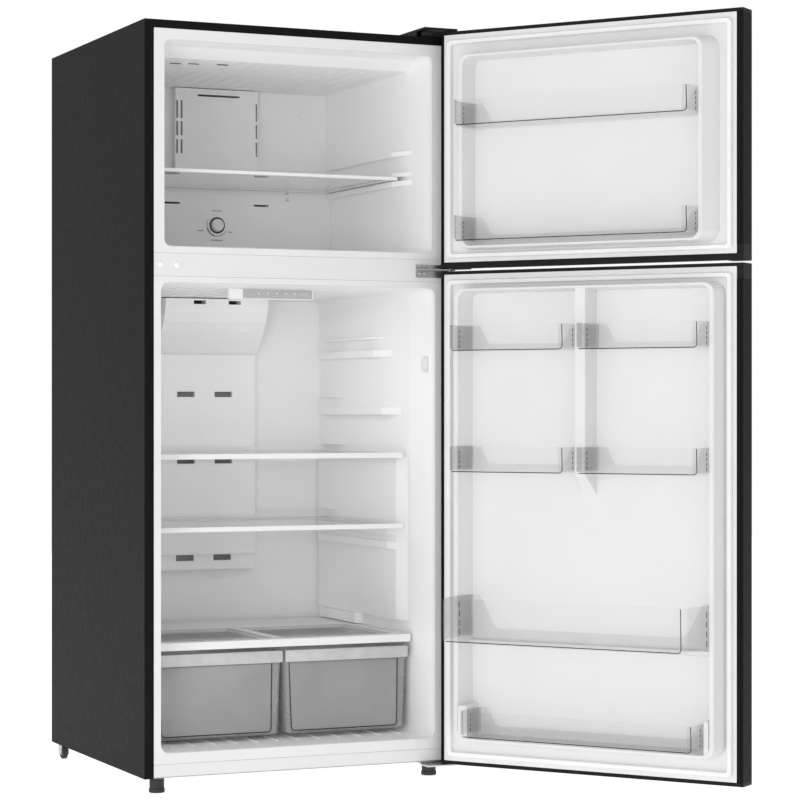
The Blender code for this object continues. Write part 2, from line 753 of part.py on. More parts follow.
def tray(low, high, z0, z1, wall, floor, radius):
    """Open box from a convex bottom outline to a convex top outline, both counter-clockwise."""
    soft = 0.004
    rings = [
        ring_z(round_polygon(inset_polygon(low, soft), radius - soft / 2), z0),
        ring_z(round_polygon(low, radius), z0 + soft),
        ring_z(round_polygon(high, radius), z1),
        ring_z(round_polygon(inset_polygon(high, wall), radius - wall / 2), z1),
        ring_z(round_polygon(inset_polygon(low, wall), radius - wall / 2), z0 + floor + soft / 2),
        ring_z(round_polygon(inset_polygon(low, wall + soft), radius - wall), z0 + floor),
    ]
    return loft(rings)


def build_crispers(root):
    tint = ((0.72, 0.74, 0.74), 0.3, 0.0, 0.5)
    for name, side in (("left_crisper", -1), ("right_crisper", 1)):
        x0, x1 = sorted((side * CRISPER_INNER, side * CRISPER_OUTER))
        top = rect(x0, x1, CRISPER_FRONT, CRISPER_BACK)
        bottom = rect(x0 + 0.0065, x1 - 0.0065, CRISPER_FRONT + 0.0015, CRISPER_BACK - 0.010)
        body = tray(bottom, top, CRISPER_FLOOR, CRISPER_RIM, 0.0025, 0.0025, 0.012)
        # The rim band stands proud of the front panel and serves as the pull.
        band = box(x0 + 0.014, x1 - 0.014, CRISPER_FRONT - 0.0050, CRISPER_FRONT + 0.0010, 0.2285, 0.2550)
        body = fuse(body, [band])
        place(name, body, tint, root, ((x0 + x1) / 2, CRISPER_FRONT, CRISPER_FLOOR))


# ---------------------------------------------------------------- doors

def door_point(s, m, z):
    return (HINGE_EDGE - s, HINGE_DEPTH - m, z)


def door_ring(s0, s1, z0, z1, radius, m):
    return [door_point(s, m, z) for s, z in round_polygon(rect(s0, s1, z0, z1), radius)]


def door_plan(grow=0.0):
    """Outline of the whole door seen from above, with rounded outer edges."""
    outline = [(0.0 - grow, 0.0), (CASE_WIDTH + grow, 0.0)]
    for center_s, start in ((CASE_WIDTH - DOOR_ROUND, 0.0), (DOOR_ROUND, math.pi / 2)):
        for k in range(5):
            angle = start + math.pi / 2 * k / 4
            reach = DOOR_ROUND + grow
            depth = DOOR_THICK - DOOR_ROUND + reach * math.sin(angle)
            outline.append((center_s + reach * math.cos(angle), depth))
    return [(HINGE_EDGE - s, HINGE_DEPTH - m) for s, m in outline]


def build_door_skin(name, door, low, high):
    """Folded steel front with returns on both edges of the inner face."""
    outer = [(WHITE_HINGE, 0.0), (0.0, 0.0)]
    inner = [(WHITE_HINGE, SHEET), (SHEET, SHEET)]
    for center_s, start in ((DOOR_ROUND, math.pi), (CASE_WIDTH - DOOR_ROUND, math.pi / 2)):
        for k in range(5):
            angle = start - math.pi / 2 * k / 4
            for shape, reach in ((outer, DOOR_ROUND), (inner, DOOR_ROUND - SHEET)):
                depth = DOOR_THICK - DOOR_ROUND + reach * math.sin(angle)
                shape.append((center_s + reach * math.cos(angle), depth))
    outer += [(CASE_WIDTH, 0.0), (CASE_WIDTH - WHITE_FREE, 0.0)]
    inner += [(CASE_WIDTH - SHEET, SHEET), (CASE_WIDTH - WHITE_FREE, SHEET)]
    outline = [(HINGE_EDGE - s, HINGE_DEPTH - m) for s, m in outer + inner[::-1]]
    smooth(place(name, prism_z(outline, low, high), painted(), door))


def build_end_cap(name, door, edge, direction, holes):
    """Thin cap that closes a door's top (direction 1) or bottom (direction -1)."""
    z0, z1 = sorted((edge, edge - direction * (END_CAP - CLEAR)))
    cap = prism_z(door_plan(), z0, z1)
    place(name, cut(cap, holes), painted((0.02, 0.02, 0.02)), door)


def build_grip_cap(name, door, edge, white_edge, direction, holes):
    """Deep cap with a finger pocket that opens to the front. `direction` points out of the door."""
    def level(offset):
        return edge - direction * offset

    shelf = abs(edge - white_edge) - CLEAR
    profile = [
        (0.0, 0.0), (0.0, shelf), (0.0030, shelf), (0.0030, CAP), (DOOR_THICK, CAP), (DOOR_THICK, 0.0172),
        (0.0430, 0.0150), (0.0430, 0.0290), (0.0180, 0.0290), (0.0180, 0.0060), (0.0200, 0.0),
    ]
    points = [(HINGE_DEPTH - m, level(offset)) for m, offset in profile]
    cap = prism_x(points, HINGE_EDGE - CASE_WIDTH, HINGE_EDGE)
    z0, z1 = sorted((level(-0.01), level(CAP + 0.01)))
    cap = boolean(cap, [prism_z(door_plan(), z0, z1)], "INTERSECT")
    ends = []
    for s0, s1 in ((0.0, 0.045), (CASE_WIDTH - 0.045, CASE_WIDTH)):
        z0, z1 = sorted((level(0.0), level(0.0340)))
        block = box(HINGE_EDGE - s1, HINGE_EDGE - s0, HINGE_DEPTH - DOOR_THICK, HINGE_DEPTH - 0.0110, z0, z1)
        ends.append(boolean(block, [prism_z(door_plan(), z0 - 0.01, z1 + 0.01)], "INTERSECT"))
    cap = fuse(cap, ends)
    place(name, cut(cap, holes), painted((0.02, 0.02, 0.02)), door)


def pin_hole(low, high):
    return cylinder((0.0, 0.0), PIN_HOLE, low, high)


def build_door_inside(prefix, door, panel, dike, seal, foam_span, extras):
    """White inner panel with a raised dike, the foam behind it and the gasket around it."""
    s0, s1 = WHITE_HINGE + CLEAR, CASE_WIDTH - WHITE_FREE - CLEAR
    low, high = panel
    base, ridge_out, ridge_in, floor = dike
    # The back of the sheet follows the front one sheet thickness behind it.
    rings = [
        door_ring(*shrink(floor, -LINER), 0.017, LINER),
        door_ring(*shrink(ridge_in, -LINER), 0.021, -DIKE + LINER),
        door_ring(*shrink(ridge_out, LINER), 0.020, -DIKE + LINER),
        door_ring(*shrink(base, LINER), 0.024, LINER),
        door_ring(s0, s1, low, high, 0.001, LINER),
        door_ring(s0, s1, low, high, 0.001, 0.0),
        door_ring(*base, 0.026, 0.0),
        door_ring(*ridge_out, 0.022, -DIKE + 0.002),
        door_ring(*shrink(ridge_out, 0.002), 0.020, -DIKE),
        door_ring(*shrink(ridge_in, -0.0015), 0.020, -DIKE),
        door_ring(*ridge_in, 0.019, -DIKE + 0.002),
        door_ring(*floor, 0.016, 0.0),
    ]
    liner = loft(rings)
    if extras:
        liner = fuse(liner, extras)
    smooth(place(prefix + "_liner", liner, white(), door))

    gap = LINER + 0.0006
    depth = DOOR_THICK - SHEET - CLEAR
    inner_low, inner_high = max(low, foam_span[0]), min(high, foam_span[1])
    rings = [
        door_ring(*shrink(floor, -gap), 0.018, gap),
        door_ring(*shrink(ridge_in, -gap - 0.0004), 0.022, -DIKE + gap),
        door_ring(*shrink(ridge_out, gap + 0.0004), 0.019, -DIKE + gap),
        door_ring(*shrink(base, gap), 0.022, gap),
        door_ring(SHEET + CLEAR, CASE_WIDTH - SHEET - CLEAR, inner_low, inner_high, 0.001, gap),
        door_ring(SHEET + CLEAR, CASE_WIDTH - SHEET - CLEAR, inner_low, inner_high, 0.001, depth - 0.010),
        door_ring(0.0090, CASE_WIDTH - 0.0090, inner_low, inner_high, 0.001, depth),
    ]
    place(prefix + "_foam", loft(rings), ((0.80, 0.72, 0.50), 0.9, 0.0, 1.0), door)

    outer = (0.0150, CASE_WIDTH - 0.0235, *seal)
    inner = shrink(outer, 0.0115)
    rings = [
        door_ring(*shrink(outer, 0.001), 0.008, -CLEAR),
        door_ring(*outer, 0.010, -0.0040),
        door_ring(*shrink(outer, 0.002), 0.010, -0.0092),
        door_ring(*shrink(inner, -0.002), 0.006, -0.0092),
        door_ring(*inner, 0.005, -0.0040),
        door_ring(*shrink(inner, -0.001), 0.006, -CLEAR),
    ]
    place(prefix + "_gasket", loft(rings, wrap=True), white(0.94), door)


def shrink(span, amount):
    s0, s1, z0, z1 = span
    return (s0 + amount, s1 - amount, z0 + amount, z1 - amount)


def build_bin(name, door, s0, s1, z0, z1, depth, taper, insets):
    """Clear door bin. The back rail is low in the middle and rises to the ends."""
    inset_hinge, inset_free = insets
    back = -0.0032
    outline = [
        (s0 + inset_hinge, back), (s0, -DIKE), (s0 + taper[0], -depth),
        (s1 - taper[1], -depth), (s1, -DIKE), (s1 - inset_free, back),
    ]
    points = [(HINGE_EDGE - s, HINGE_DEPTH - m) for s, m in outline]
    top = points[::-1] if is_clockwise(points) else points
    bottom = inset_polygon(top, 0.0015)
    body = tray(bottom, top, z0, z1, 0.0022, 0.0025, 0.006)
    rise = z1 - z0
    notch_low = z0 + 0.30 * rise if rise < 0.08 else z0 + 0.22 * rise
    slope = (z1 - notch_low) * 0.52
    shape = [
        (s0 + inset_hinge + 0.020, z1 + 0.001), (s0 + inset_hinge + 0.020 + slope, notch_low),
        (s1 - inset_free - 0.020 - slope, notch_low), (s1 - inset_free - 0.020, z1 + 0.001),
    ]
    notch = loft([[door_point(s, m, z) for s, z in shape] for m in (-0.012, 0.010)])
    body = cut(body, [notch])
    middle = door_point((s0 + s1) / 2, -depth / 2, z0)
    place(name, body, clear_plastic(), door, middle)


def is_clockwise(points):
    area = 0.0
    for i, (x, y) in enumerate(points):
        x2, y2 = points[(i + 1) % len(points)]
        area += x * y2 - x2 * y
    return area < 0


def build_freezer_door(root):
    door = make_empty("freezer_door_axis", root, (AXIS_X, AXIS_Y, 0.0))
    door.rotation_euler = (0.0, 0.0, DOOR_OPEN)
    low, high = FREEZER_DOOR
    build_door_skin("freezer_door_skin", door, low + CAP + CLEAR, high - END_CAP)
    build_end_cap("freezer_door_top_cap", door, high, 1, [pin_hole(high - 0.0068, high + 0.01)])
    holes = [pin_hole(low - 0.01, low + 0.0080)]
    build_grip_cap("freezer_door_bottom_cap", door, low, FREEZER_WHITE[0], -1, holes)
    base = (0.0471, 0.6746, 1.1540, 1.5925)
    ridge_out = (0.0671, 0.6546, 1.1565, 1.5880)
    ridge_in = (0.0777, 0.6450, 1.1620, 1.5820)
    floor = (0.0850, 0.6370, 1.1650, 1.5780)
    foam = (low + CAP + 0.0010, high - END_CAP - 0.0005)
    dike = (base, ridge_out, ridge_in, floor)
    build_door_inside("freezer_door", door, FREEZER_WHITE, dike, (1.1370, 1.6290), foam, [])
    for name, z0 in (("freezer_upper_bin", 1.4235), ("freezer_lower_bin", 1.1690)):
        build_bin(name, door, 0.0785, 0.6442, z0, z0 + 0.0575, 0.104, (0.0045, 0.0015), (0.0085, 0.0095))


def build_fridge_door(root):
    door = make_empty("fridge_door_axis", root, (AXIS_X, AXIS_Y, 0.0))
    door.rotation_euler = (0.0, 0.0, DOOR_OPEN)
    low, high = FRIDGE_DOOR
    build_door_skin("fridge_door_skin", door, low + END_CAP, high - CAP - CLEAR)
    build_end_cap("fridge_door_bottom_cap", door, low, -1, [pin_hole(low - 0.01, low + 0.0072)])
    holes = [pin_hole(high - 0.0080, high + 0.01)]
    build_grip_cap("fridge_door_top_cap", door, high, FRIDGE_WHITE[1], 1, holes)
    base = (0.0485, 0.6880, 0.0575, 1.0700)
    ridge_out = (0.0565, 0.6808, 0.0600, 1.0670)
    ridge_in = (0.0671, 0.6703, 0.0660, 1.0610)
    floor = (0.0790, 0.6590, 0.0720, 1.0570)
    rib = loft([
        door_ring(0.3515, 0.3860, 0.6080, 1.0600, 0.004, 0.0010),
        door_ring(0.3565, 0.3810, 0.6540, 1.0640, 0.004, -DIKE + 0.0002),
    ])
    ledge = loft([
        door_ring(0.0750, 0.6630, 0.2700, 0.2860, 0.003, 0.0010),
        door_ring(0.0700, 0.6670, 0.2740, 0.2820, 0.003, -0.0120),
    ])
    blocks = []
    for s0, s1 in ((0.0680, 0.0905), (0.6585, 0.6690)):
        blocks.append(loft([
            door_ring(s0 - 0.003, s1 + 0.003, 0.0640, 0.1420, 0.004, 0.0010),
            door_ring(s0, s1, 0.0640, 0.1380, 0.004, -DIKE + 0.0002),
        ]))
    half_sheet = LINER / 2
    recess = loft([
        door_ring(*shrink(floor, -half_sheet), 0.017, half_sheet),
        door_ring(*shrink(ridge_in, -half_sheet), 0.020, -DIKE),
    ])
    raised = [boolean(mesh, [recess], "INTERSECT") for mesh in [rib, ledge] + blocks]
    bump = loft([
        door_ring(0.0400, 0.0495, 0.8750, 0.9210, 0.003, 0.0010),
        door_ring(0.0430, 0.0540, 0.8780, 0.9180, 0.003, -0.0280),
    ])
    foam = (low + END_CAP + 0.0005, high - CAP - 0.0010)
    dike = (base, ridge_out, ridge_in, floor)
    build_door_inside("fridge_door", door, FRIDGE_WHITE, dike, (0.0165, 1.0890), foam, raised + [bump])
    for row, z0 in (("upper", 0.9265), ("middle", 0.6590)):
        left, right = "fridge_%s_bin_left" % row, "fridge_%s_bin_right" % row
        z1 = z0 + 0.0570
        build_bin(left, door, 0.0680, 0.3555, z0, z1, 0.104, (0.0045, 0.0030), (0.0115, 0.0085))
        build_bin(right, door, 0.3820, 0.6694, z0, z1, 0.104, (0.0010, 0.0030), (0.0085, 0.0120))
    ends = (0.0115, 0.0120)
    build_bin("fridge_gallon_bin", door, 0.0680, 0.6694, 0.2880, 0.3830, 0.148, (0.0130, 0.0200), ends)
    ends = (0.0040, 0.0040)
    build_bin("fridge_bottom_bin", door, 0.0950, 0.6545, 0.0745, 0.1320, 0.098, (0.0010, 0.0040), ends)


def rest_on_floor(root):
    """Shift the assembly so that the middle of its footprint stands on the origin."""
    bpy.context.view_layer.update()
    corners = []
    for item in bpy.context.scene.objects:
        if item.type == "MESH":
            corners += [item.matrix_world @ vertex.co for vertex in item.data.vertices]
    middle_x = (min(c.x for c in corners) + max(c.x for c in corners)) / 2
    middle_y = (min(c.y for c in corners) + max(c.y for c in corners)) / 2
    root.location.x -= middle_x
    root.location.y -= middle_y
    root.location.z -= min(c.z for c in corners)


def build():
    clear_scene()
    root = make_empty("refrigerator", None, (0.0, 0.0, FOOT_HEIGHT))
    build_case(root)
    build_foam(root)
    build_liners(root)
    build_face_strips(root)
    build_freezer_back(root)
    build_fan(root)
    build_knob(root)
    build_duct(root)
    build_control(root)
    build_crisper_cover(root)
    build_crisper_glass(root)
    build_hinges(root)
    build_base(root)
    build_cooling(root)
    build_feet(root)
    build_switch(root)
    build_shelf("freezer_shelf", root, FREEZER_SHELF_Z, 0.2880, 0.5320, 0.0075, 0.0057)
    build_shelf("upper_shelf", root, UPPER_SHELF_Z, 0.3020, 0.6100, 0.0120, 0.0100)
    build_shelf("lower_shelf", root, LOWER_SHELF_Z, 0.3020, 0.6100, 0.0110, 0.0092)
    build_crispers(root)
    build_freezer_door(root)
    build_fridge_door(root)
    rest_on_floor(root)


build()
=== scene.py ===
import json
import math

import bmesh
import bpy
from mathutils import Matrix, Vector


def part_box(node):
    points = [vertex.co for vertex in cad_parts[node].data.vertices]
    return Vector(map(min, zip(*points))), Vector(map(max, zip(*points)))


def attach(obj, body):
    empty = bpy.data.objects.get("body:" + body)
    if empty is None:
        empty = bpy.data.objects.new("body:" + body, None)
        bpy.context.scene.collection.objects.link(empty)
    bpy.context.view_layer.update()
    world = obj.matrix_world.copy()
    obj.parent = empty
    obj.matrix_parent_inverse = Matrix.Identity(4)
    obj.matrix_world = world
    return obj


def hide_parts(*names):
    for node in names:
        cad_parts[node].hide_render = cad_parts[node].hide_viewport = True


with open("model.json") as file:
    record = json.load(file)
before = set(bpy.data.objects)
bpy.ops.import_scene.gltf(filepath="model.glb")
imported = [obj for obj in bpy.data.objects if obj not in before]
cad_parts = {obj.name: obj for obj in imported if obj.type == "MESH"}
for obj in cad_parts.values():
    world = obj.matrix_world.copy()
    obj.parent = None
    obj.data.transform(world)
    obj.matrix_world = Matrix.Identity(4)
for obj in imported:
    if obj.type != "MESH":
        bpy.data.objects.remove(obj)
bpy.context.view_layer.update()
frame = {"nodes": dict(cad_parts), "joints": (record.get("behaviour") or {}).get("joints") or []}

NODES = frame["nodes"]
JOINTS = {joint["name"]: joint for joint in frame["joints"]}

# ---------------------------------------------------------------- dimensions, in metres

# Cabinet coordinates: x from the middle, y back from the front face, z up from the underside of the case.
case_low, case_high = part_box("outer_case")
ORIGIN = Vector(((case_low.x + case_high.x) / 2, case_low.y, case_low.z))
WIDTH = case_high.x - case_low.x

# Door coordinates: s along the width from the hinge side, m outward from the inner face, z as the cabinet's.
HINGE_EDGE = 0.0115
HINGE_DEPTH = 0.0150
DIKE = 0.050
hinge = JOINTS["fridge_door_hinge"]
DOOR_ANGLE = -math.radians(hinge["range_deg"][0])
DOOR_AXIS = Vector((hinge["pos_m"][0], hinge["pos_m"][1], ORIGIN.z))
DOOR = Matrix.Translation(DOOR_AXIS) @ Matrix.Rotation(DOOR_ANGLE, 4, "Z")
CASE = Matrix.Translation(ORIGIN)

# Door bins: wall, back rail, gap before its risers, length of the greyer end zones, usual heights and depth.
BIN_WALL = 0.0022
BACK_RAIL = -0.0032
RISER_GAP = 0.020
END_ZONE = 0.016
SMALL_BIN_HEIGHT = 0.0570
WIDE_BIN_HEIGHT = 0.0575
SMALL_BIN_DEPTH = 0.104

CRISPER_FRONT = 0.107
DIAL_CENTER = (0.0, 0.5345, 1.24)
BACK_COVER_FACE = 0.5588
REAR_SHEET = 0.6926


# ---------------------------------------------------------------- materials

def node(tree, kind, **inputs):
    """New shader node, with its input constants set."""
    made = tree.nodes.new(kind)
    for name, value in inputs.items():
        made.inputs[name.replace("_", " ")].default_value = value
    return made


def noise(tree, coords, scale, detail=3.0, rough=0.55, stretch=None):
    """Noise texture, stretched along the axes when a stretch is given."""
    if stretch:
        mapping = node(tree, "ShaderNodeMapping", Scale=stretch)
        tree.links.new(coords, mapping.inputs["Vector"])
        coords = mapping.outputs["Vector"]
    made = node(tree, "ShaderNodeTexNoise", Scale=scale, Detail=detail, Roughness=rough)
    tree.links.new(coords, made.inputs["Vector"])
    return made.outputs["Fac"]


def spread(tree, value, low, high):
    """Map a noise value to the range from low to high."""
    made = node(tree, "ShaderNodeMapRange")
    made.inputs["From Min"].default_value = 0.3
    made.inputs["From Max"].default_value = 0.7
    made.inputs["To Min"].default_value = low
    made.inputs["To Max"].default_value = high
    tree.links.new(value, made.inputs["Value"])
    return made.outputs["Result"]


def shade(tree, value, dark, light):
    """Colour that runs from dark to light with a value between 0 and 1."""
    made = tree.nodes.new("ShaderNodeValToRGB")
    made.color_ramp.elements[0].position = 0.30
    made.color_ramp.elements[1].position = 0.70
    made.color_ramp.elements[0].color = (*dark, 1.0)
    made.color_ramp.elements[1].color = (*light, 1.0)
    tree.links.new(value, made.inputs["Fac"])
    return made.outputs["Color"]


def paint_front_shade(tree, tint, amount):
    """Painted shade: the front face of the cabinet liners is made greyer than the inside."""
    place = node(tree, "ShaderNodeNewGeometry")
    split = node(tree, "ShaderNodeSeparateXYZ")
    tree.links.new(place.outputs["Position"], split.inputs["Vector"])
    depth = node(tree, "ShaderNodeMapRange")
    depth.inputs["From Min"].default_value = ORIGIN.y + 0.0005
    depth.inputs["From Max"].default_value = ORIGIN.y + 0.0120
    depth.inputs["To Min"].default_value = 1.0 - amount
    depth.inputs["To Max"].default_value = 1.0
    tree.links.new(split.outputs["Y"], depth.inputs["Value"])
    scale = node(tree, "ShaderNodeVectorMath")
    scale.operation = "SCALE"
    tree.links.new(tint, scale.inputs[0])
    tree.links.new(depth.outputs["Result"], scale.inputs["Scale"])
    return scale.outputs["Vector"]


def finish(name, color, rough, metallic=0.0, mottle=0.03, mottle_scale=9.0, grain=900.0, depth=0.00004,
           rough_spread=0.06, specular=0.5, coat=0.0, stretch=None, cells=0.0, clear=None, face=0.0):
    """Procedural surface: mottled colour, varied roughness and a fine moulded or sprayed grain."""
    made = bpy.data.materials.new(name)
    made.use_nodes = True
    tree = made.node_tree
    shader = tree.nodes["Principled BSDF"]
    shader.inputs["Metallic"].default_value = metallic
    shader.inputs["Specular IOR Level"].default_value = specular
    if coat:
        shader.inputs["Coat Weight"].default_value = coat
        shader.inputs["Coat Roughness"].default_value = 0.12
    coords = tree.nodes.new("ShaderNodeTexCoord").outputs["Object"]
    broad = noise(tree, coords, mottle_scale, stretch=stretch)
    if cells:
        spangle = node(tree, "ShaderNodeTexVoronoi", Scale=cells)
        tree.links.new(coords, spangle.inputs["Vector"])
        separate = tree.nodes.new("ShaderNodeSeparateColor")
        tree.links.new(spangle.outputs["Color"], separate.inputs["Color"])
        broad = separate.outputs["Red"]
    dark = tuple(c * (1 - mottle) for c in color)
    light = tuple(min(1.0, c * (1 + mottle)) for c in color)
    tint = shade(tree, broad, dark, light)
    # face: share of painted shade that greys the front face of a liner
    if face:
        tint = paint_front_shade(tree, tint, face)
    tree.links.new(tint, shader.inputs["Base Color"])
    fine = noise(tree, coords, grain, 2.0, stretch=stretch)
    varied = noise(tree, coords, grain / 12, 3.0, stretch=stretch)
    roughness = spread(tree, varied, rough - rough_spread, rough + rough_spread)
    tree.links.new(roughness, shader.inputs["Roughness"])
    bump = node(tree, "ShaderNodeBump", Strength=0.6, Distance=depth)
    tree.links.new(fine, bump.inputs["Height"])
    tree.links.new(bump.outputs["Normal"], shader.inputs["Normal"])
    if clear:
        flat, edge = clear
        facing = node(tree, "ShaderNodeLayerWeight", Blend=0.5)
        opacity = node(tree, "ShaderNodeMapRange")
        opacity.inputs["From Min"].default_value = 0.35
        opacity.inputs["To Min"].default_value = flat
        opacity.inputs["To Max"].default_value = edge
        tree.links.new(facing.outputs["Facing"], opacity.inputs["Value"])
        tree.links.new(opacity.outputs["Result"], shader.inputs["Alpha"])
    return made


PAINT = finish("black_textured_paint", (0.0046, 0.0046, 0.0047), 0.56, mottle=0.03, grain=620.0,
               depth=0.00002, rough_spread=0.03, specular=0.10)
EDGE_PAINT = finish("black_moulding", (0.006, 0.006, 0.0061), 0.50, mottle=0.06, grain=760.0,
                    depth=0.00003, specular=0.18)
# Painted shade on the white plastics: the face values grey the liners' front faces against the inside. The
# freezer liner and back cover get lower greys than the fridge liner, and the door liners and face trim lower
# still, to hold down the light they catch.
FREEZER_LINER = finish("white_freezer_liner", (0.94, 0.94, 0.94), 0.42, mottle=0.012, grain=520.0,
                       depth=0.00003, face=0.20)
LINER = finish("white_liner", (0.97, 0.97, 0.97), 0.38, mottle=0.012, grain=520.0,
               depth=0.00003, face=0.22)
DOOR_LINER = finish("white_door_liner", (0.74, 0.74, 0.74), 0.40, mottle=0.012, grain=520.0, depth=0.00003)
FACE_TRIM = finish("white_face_trim", (0.74, 0.74, 0.74), 0.38, mottle=0.012, grain=620.0, depth=0.00003)
TRIM = finish("white_moulding", (0.83, 0.83, 0.83), 0.36, mottle=0.010, grain=700.0, depth=0.00003)
COVER = finish("white_back_cover", (0.87, 0.87, 0.87), 0.46, mottle=0.014, grain=640.0, depth=0.00005)
SEAL = finish("white_soft_seal", (0.85, 0.85, 0.85), 0.55, mottle=0.02, grain=420.0, depth=0.00006)
FOAM = finish("poured_foam", (0.78, 0.68, 0.44), 0.9, mottle=0.12, grain=300.0, depth=0.0006, cells=260.0)
SPANGLE = finish("galvanised_sheet", (0.50, 0.51, 0.52), 0.38, 0.85, mottle=0.07, cells=150.0, depth=0.00003)
PLATED = finish("plated_steel", (0.66, 0.67, 0.68), 0.30, 0.95, mottle=0.06, stretch=(1, 14, 1),
                depth=0.00003)
HINGE = finish("dark_steel", (0.13, 0.13, 0.13), 0.34, 0.8, mottle=0.12, grain=800.0, stretch=(12, 1, 1))
RUBBER = finish("black_rubber", (0.018, 0.018, 0.018), 0.62, mottle=0.15, grain=500.0, depth=0.00010)
BRACKET = finish("brushed_steel", (0.42, 0.42, 0.42), 0.32, 0.9, mottle=0.10, grain=700.0, stretch=(14, 1, 1))
SATIN_GREY = finish("grey_panel", (0.43, 0.435, 0.432), 0.34, mottle=0.03, grain=900.0)
SHELL = finish("black_compressor", (0.030, 0.030, 0.031), 0.24, 0.1, mottle=0.15, grain=260.0,
               depth=0.0001, coat=0.4)
FINS = finish("bare_aluminium", (0.74, 0.75, 0.76), 0.34, 0.95, mottle=0.05, stretch=(14, 1, 1))
GLASS = finish("shelf_glass", (0.70, 0.73, 0.725), 0.05, mottle=0.02, rough_spread=0.02,
               depth=0.000004, clear=(0.10, 0.30))
BIN = finish("clear_bin", (0.66, 0.66, 0.66), 0.12, mottle=0.03, rough_spread=0.04,
             depth=0.00001, clear=(0.045, 0.22))
# Bin end zones: greyer than the clear walls. The hinge-side end is a darker copy of the free-side end, which
# is painted shade.
BIN_HINGE_END_SHADED = finish("clear_bin_hinge_end_shaded", (0.24, 0.24, 0.24), 0.14, mottle=0.10, mottle_scale=90.0,
                 rough_spread=0.04, depth=0.00002, stretch=(1, 1, 0.12), grain=260.0, clear=(0.16, 0.36))
BIN_FREE = finish("clear_bin_free_end", (0.34, 0.34, 0.34), 0.14, mottle=0.10, mottle_scale=90.0,
                  rough_spread=0.04, depth=0.00002, stretch=(1, 1, 0.12), grain=260.0, clear=(0.10, 0.28))
# Near-black for the painted shade along the bins' and crispers' edges, and for the bins' lugs and the knob's
# ring.
BIN_LINE = finish("clear_bin_edge", (0.022, 0.022, 0.022), 0.25, mottle=0.20, mottle_scale=60.0)
CRISPER = finish("frosted_crisper", (0.60, 0.60, 0.60), 0.30, mottle=0.10, mottle_scale=7.0,
                 grain=700.0, depth=0.00006, clear=(0.34, 0.62))
CRISPER_PANEL = finish("frosted_crisper_front", (0.46, 0.46, 0.46), 0.36, mottle=0.09, mottle_scale=5.0,
                       grain=800.0, depth=0.00006, clear=(0.62, 0.82))
CRISPER_BAND = finish("frosted_crisper_band", (0.76, 0.76, 0.76), 0.34, mottle=0.08, mottle_scale=30.0,
                      grain=600.0, depth=0.00008, clear=(0.62, 0.85))
LENS = finish("lamp_diffuser", (0.93, 0.94, 0.95), 0.30, mottle=0.02, grain=300.0, depth=0.0002,
              clear=(0.75, 0.95))
# Slot shades: dark greys painted as the shade seen through slots and drain holes.
DUCT_VOID = finish("shaded_duct", (0.20, 0.20, 0.20), 0.7, mottle=0.15, grain=300.0, depth=0.0002)
VOID = finish("painted_slot_shade", (0.030, 0.027, 0.024), 0.7, mottle=0.25, grain=300.0, depth=0.0003)
INK = finish("grey_print", (0.055, 0.055, 0.055), 0.5, mottle=0.15, mottle_scale=200.0)
PALE_INK = finish("pale_print", (0.48, 0.485, 0.485), 0.5, mottle=0.08, mottle_scale=200.0)
LIGHT = finish("indicator", (0.78, 0.86, 0.88), 0.3, mottle=0.03)


def dress(material, *names):
    """Put a material on the named nodes."""
    for name in names:
        NODES[name].data.materials.clear()
        NODES[name].data.materials.append(material)


def soften(width, *names):
    """Round the sharp edges of carried-over nodes without touching their meshes."""
    for name in names:
        weld = NODES[name].modifiers.new("weld", "WELD")
        weld.merge_threshold = 0.00002
        bevel = NODES[name].modifiers.new("bevel", "BEVEL")
        bevel.width = width
        bevel.segments = 2
        bevel.limit_method = "ANGLE"
        bevel.angle_limit = math.radians(50)
        bevel.use_clamp_overlap = True
        bevel.harden_normals = False


def crisp(angle, *names):
    """Keep the moulded creases of carried-over nodes crisp."""
    for name in names:
        weld = NODES[name].modifiers.new("weld", "WELD")
        weld.merge_threshold = 0.00002
        split = NODES[name].modifiers.new("creases", "EDGE_SPLIT")
        split.split_angle = math.radians(angle)
        split.use_edge_sharp = False


# ---------------------------------------------------------------- mesh code

def piece(name, mesh, material, body, place=CASE, bevel=0.0, smooth=35.0):
    """Link a mesh built in cabinet or door coordinates as a piece that rides on a body."""
    materials = material if isinstance(material, (list, tuple)) else [material]
    data = bpy.data.meshes.new(name)
    bmesh.ops.transform(mesh, matrix=place, verts=mesh.verts)
    bmesh.ops.recalc_face_normals(mesh, faces=mesh.faces)
    mesh.to_mesh(data)
    mesh.free()
    made = bpy.data.objects.new(name, data)
    bpy.context.scene.collection.objects.link(made)
    for entry in materials:
        data.materials.append(entry)
    if bevel:
        edge = made.modifiers.new("bevel", "BEVEL")
        edge.width = bevel
        edge.segments = 3
        edge.limit_method = "ANGLE"
        edge.angle_limit = math.radians(40)
    data.polygons.foreach_set("use_smooth", [True] * len(data.polygons))
    data.set_sharp_from_angle(angle=math.radians(smooth))
    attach(made, body)
    return made


def add_box(mesh, low, high):
    """Axis-aligned box between two opposite corners."""
    x0, y0, z0 = low
    x1, y1, z1 = high
    bottom = [mesh.verts.new(p) for p in ((x0, y0, z0), (x1, y0, z0), (x1, y1, z0), (x0, y1, z0))]
    top = [mesh.verts.new((v.co.x, v.co.y, z1)) for v in bottom]
    mesh.faces.new(bottom[::-1])
    mesh.faces.new(top)
    for i in range(4):
        j = (i + 1) % 4
        mesh.faces.new((bottom[i], bottom[j], top[j], top[i]))


def boxes(spans):
    """Mesh of separate boxes."""
    mesh = bmesh.new()
    for low, high in spans:
        add_box(mesh, low, high)
    return mesh


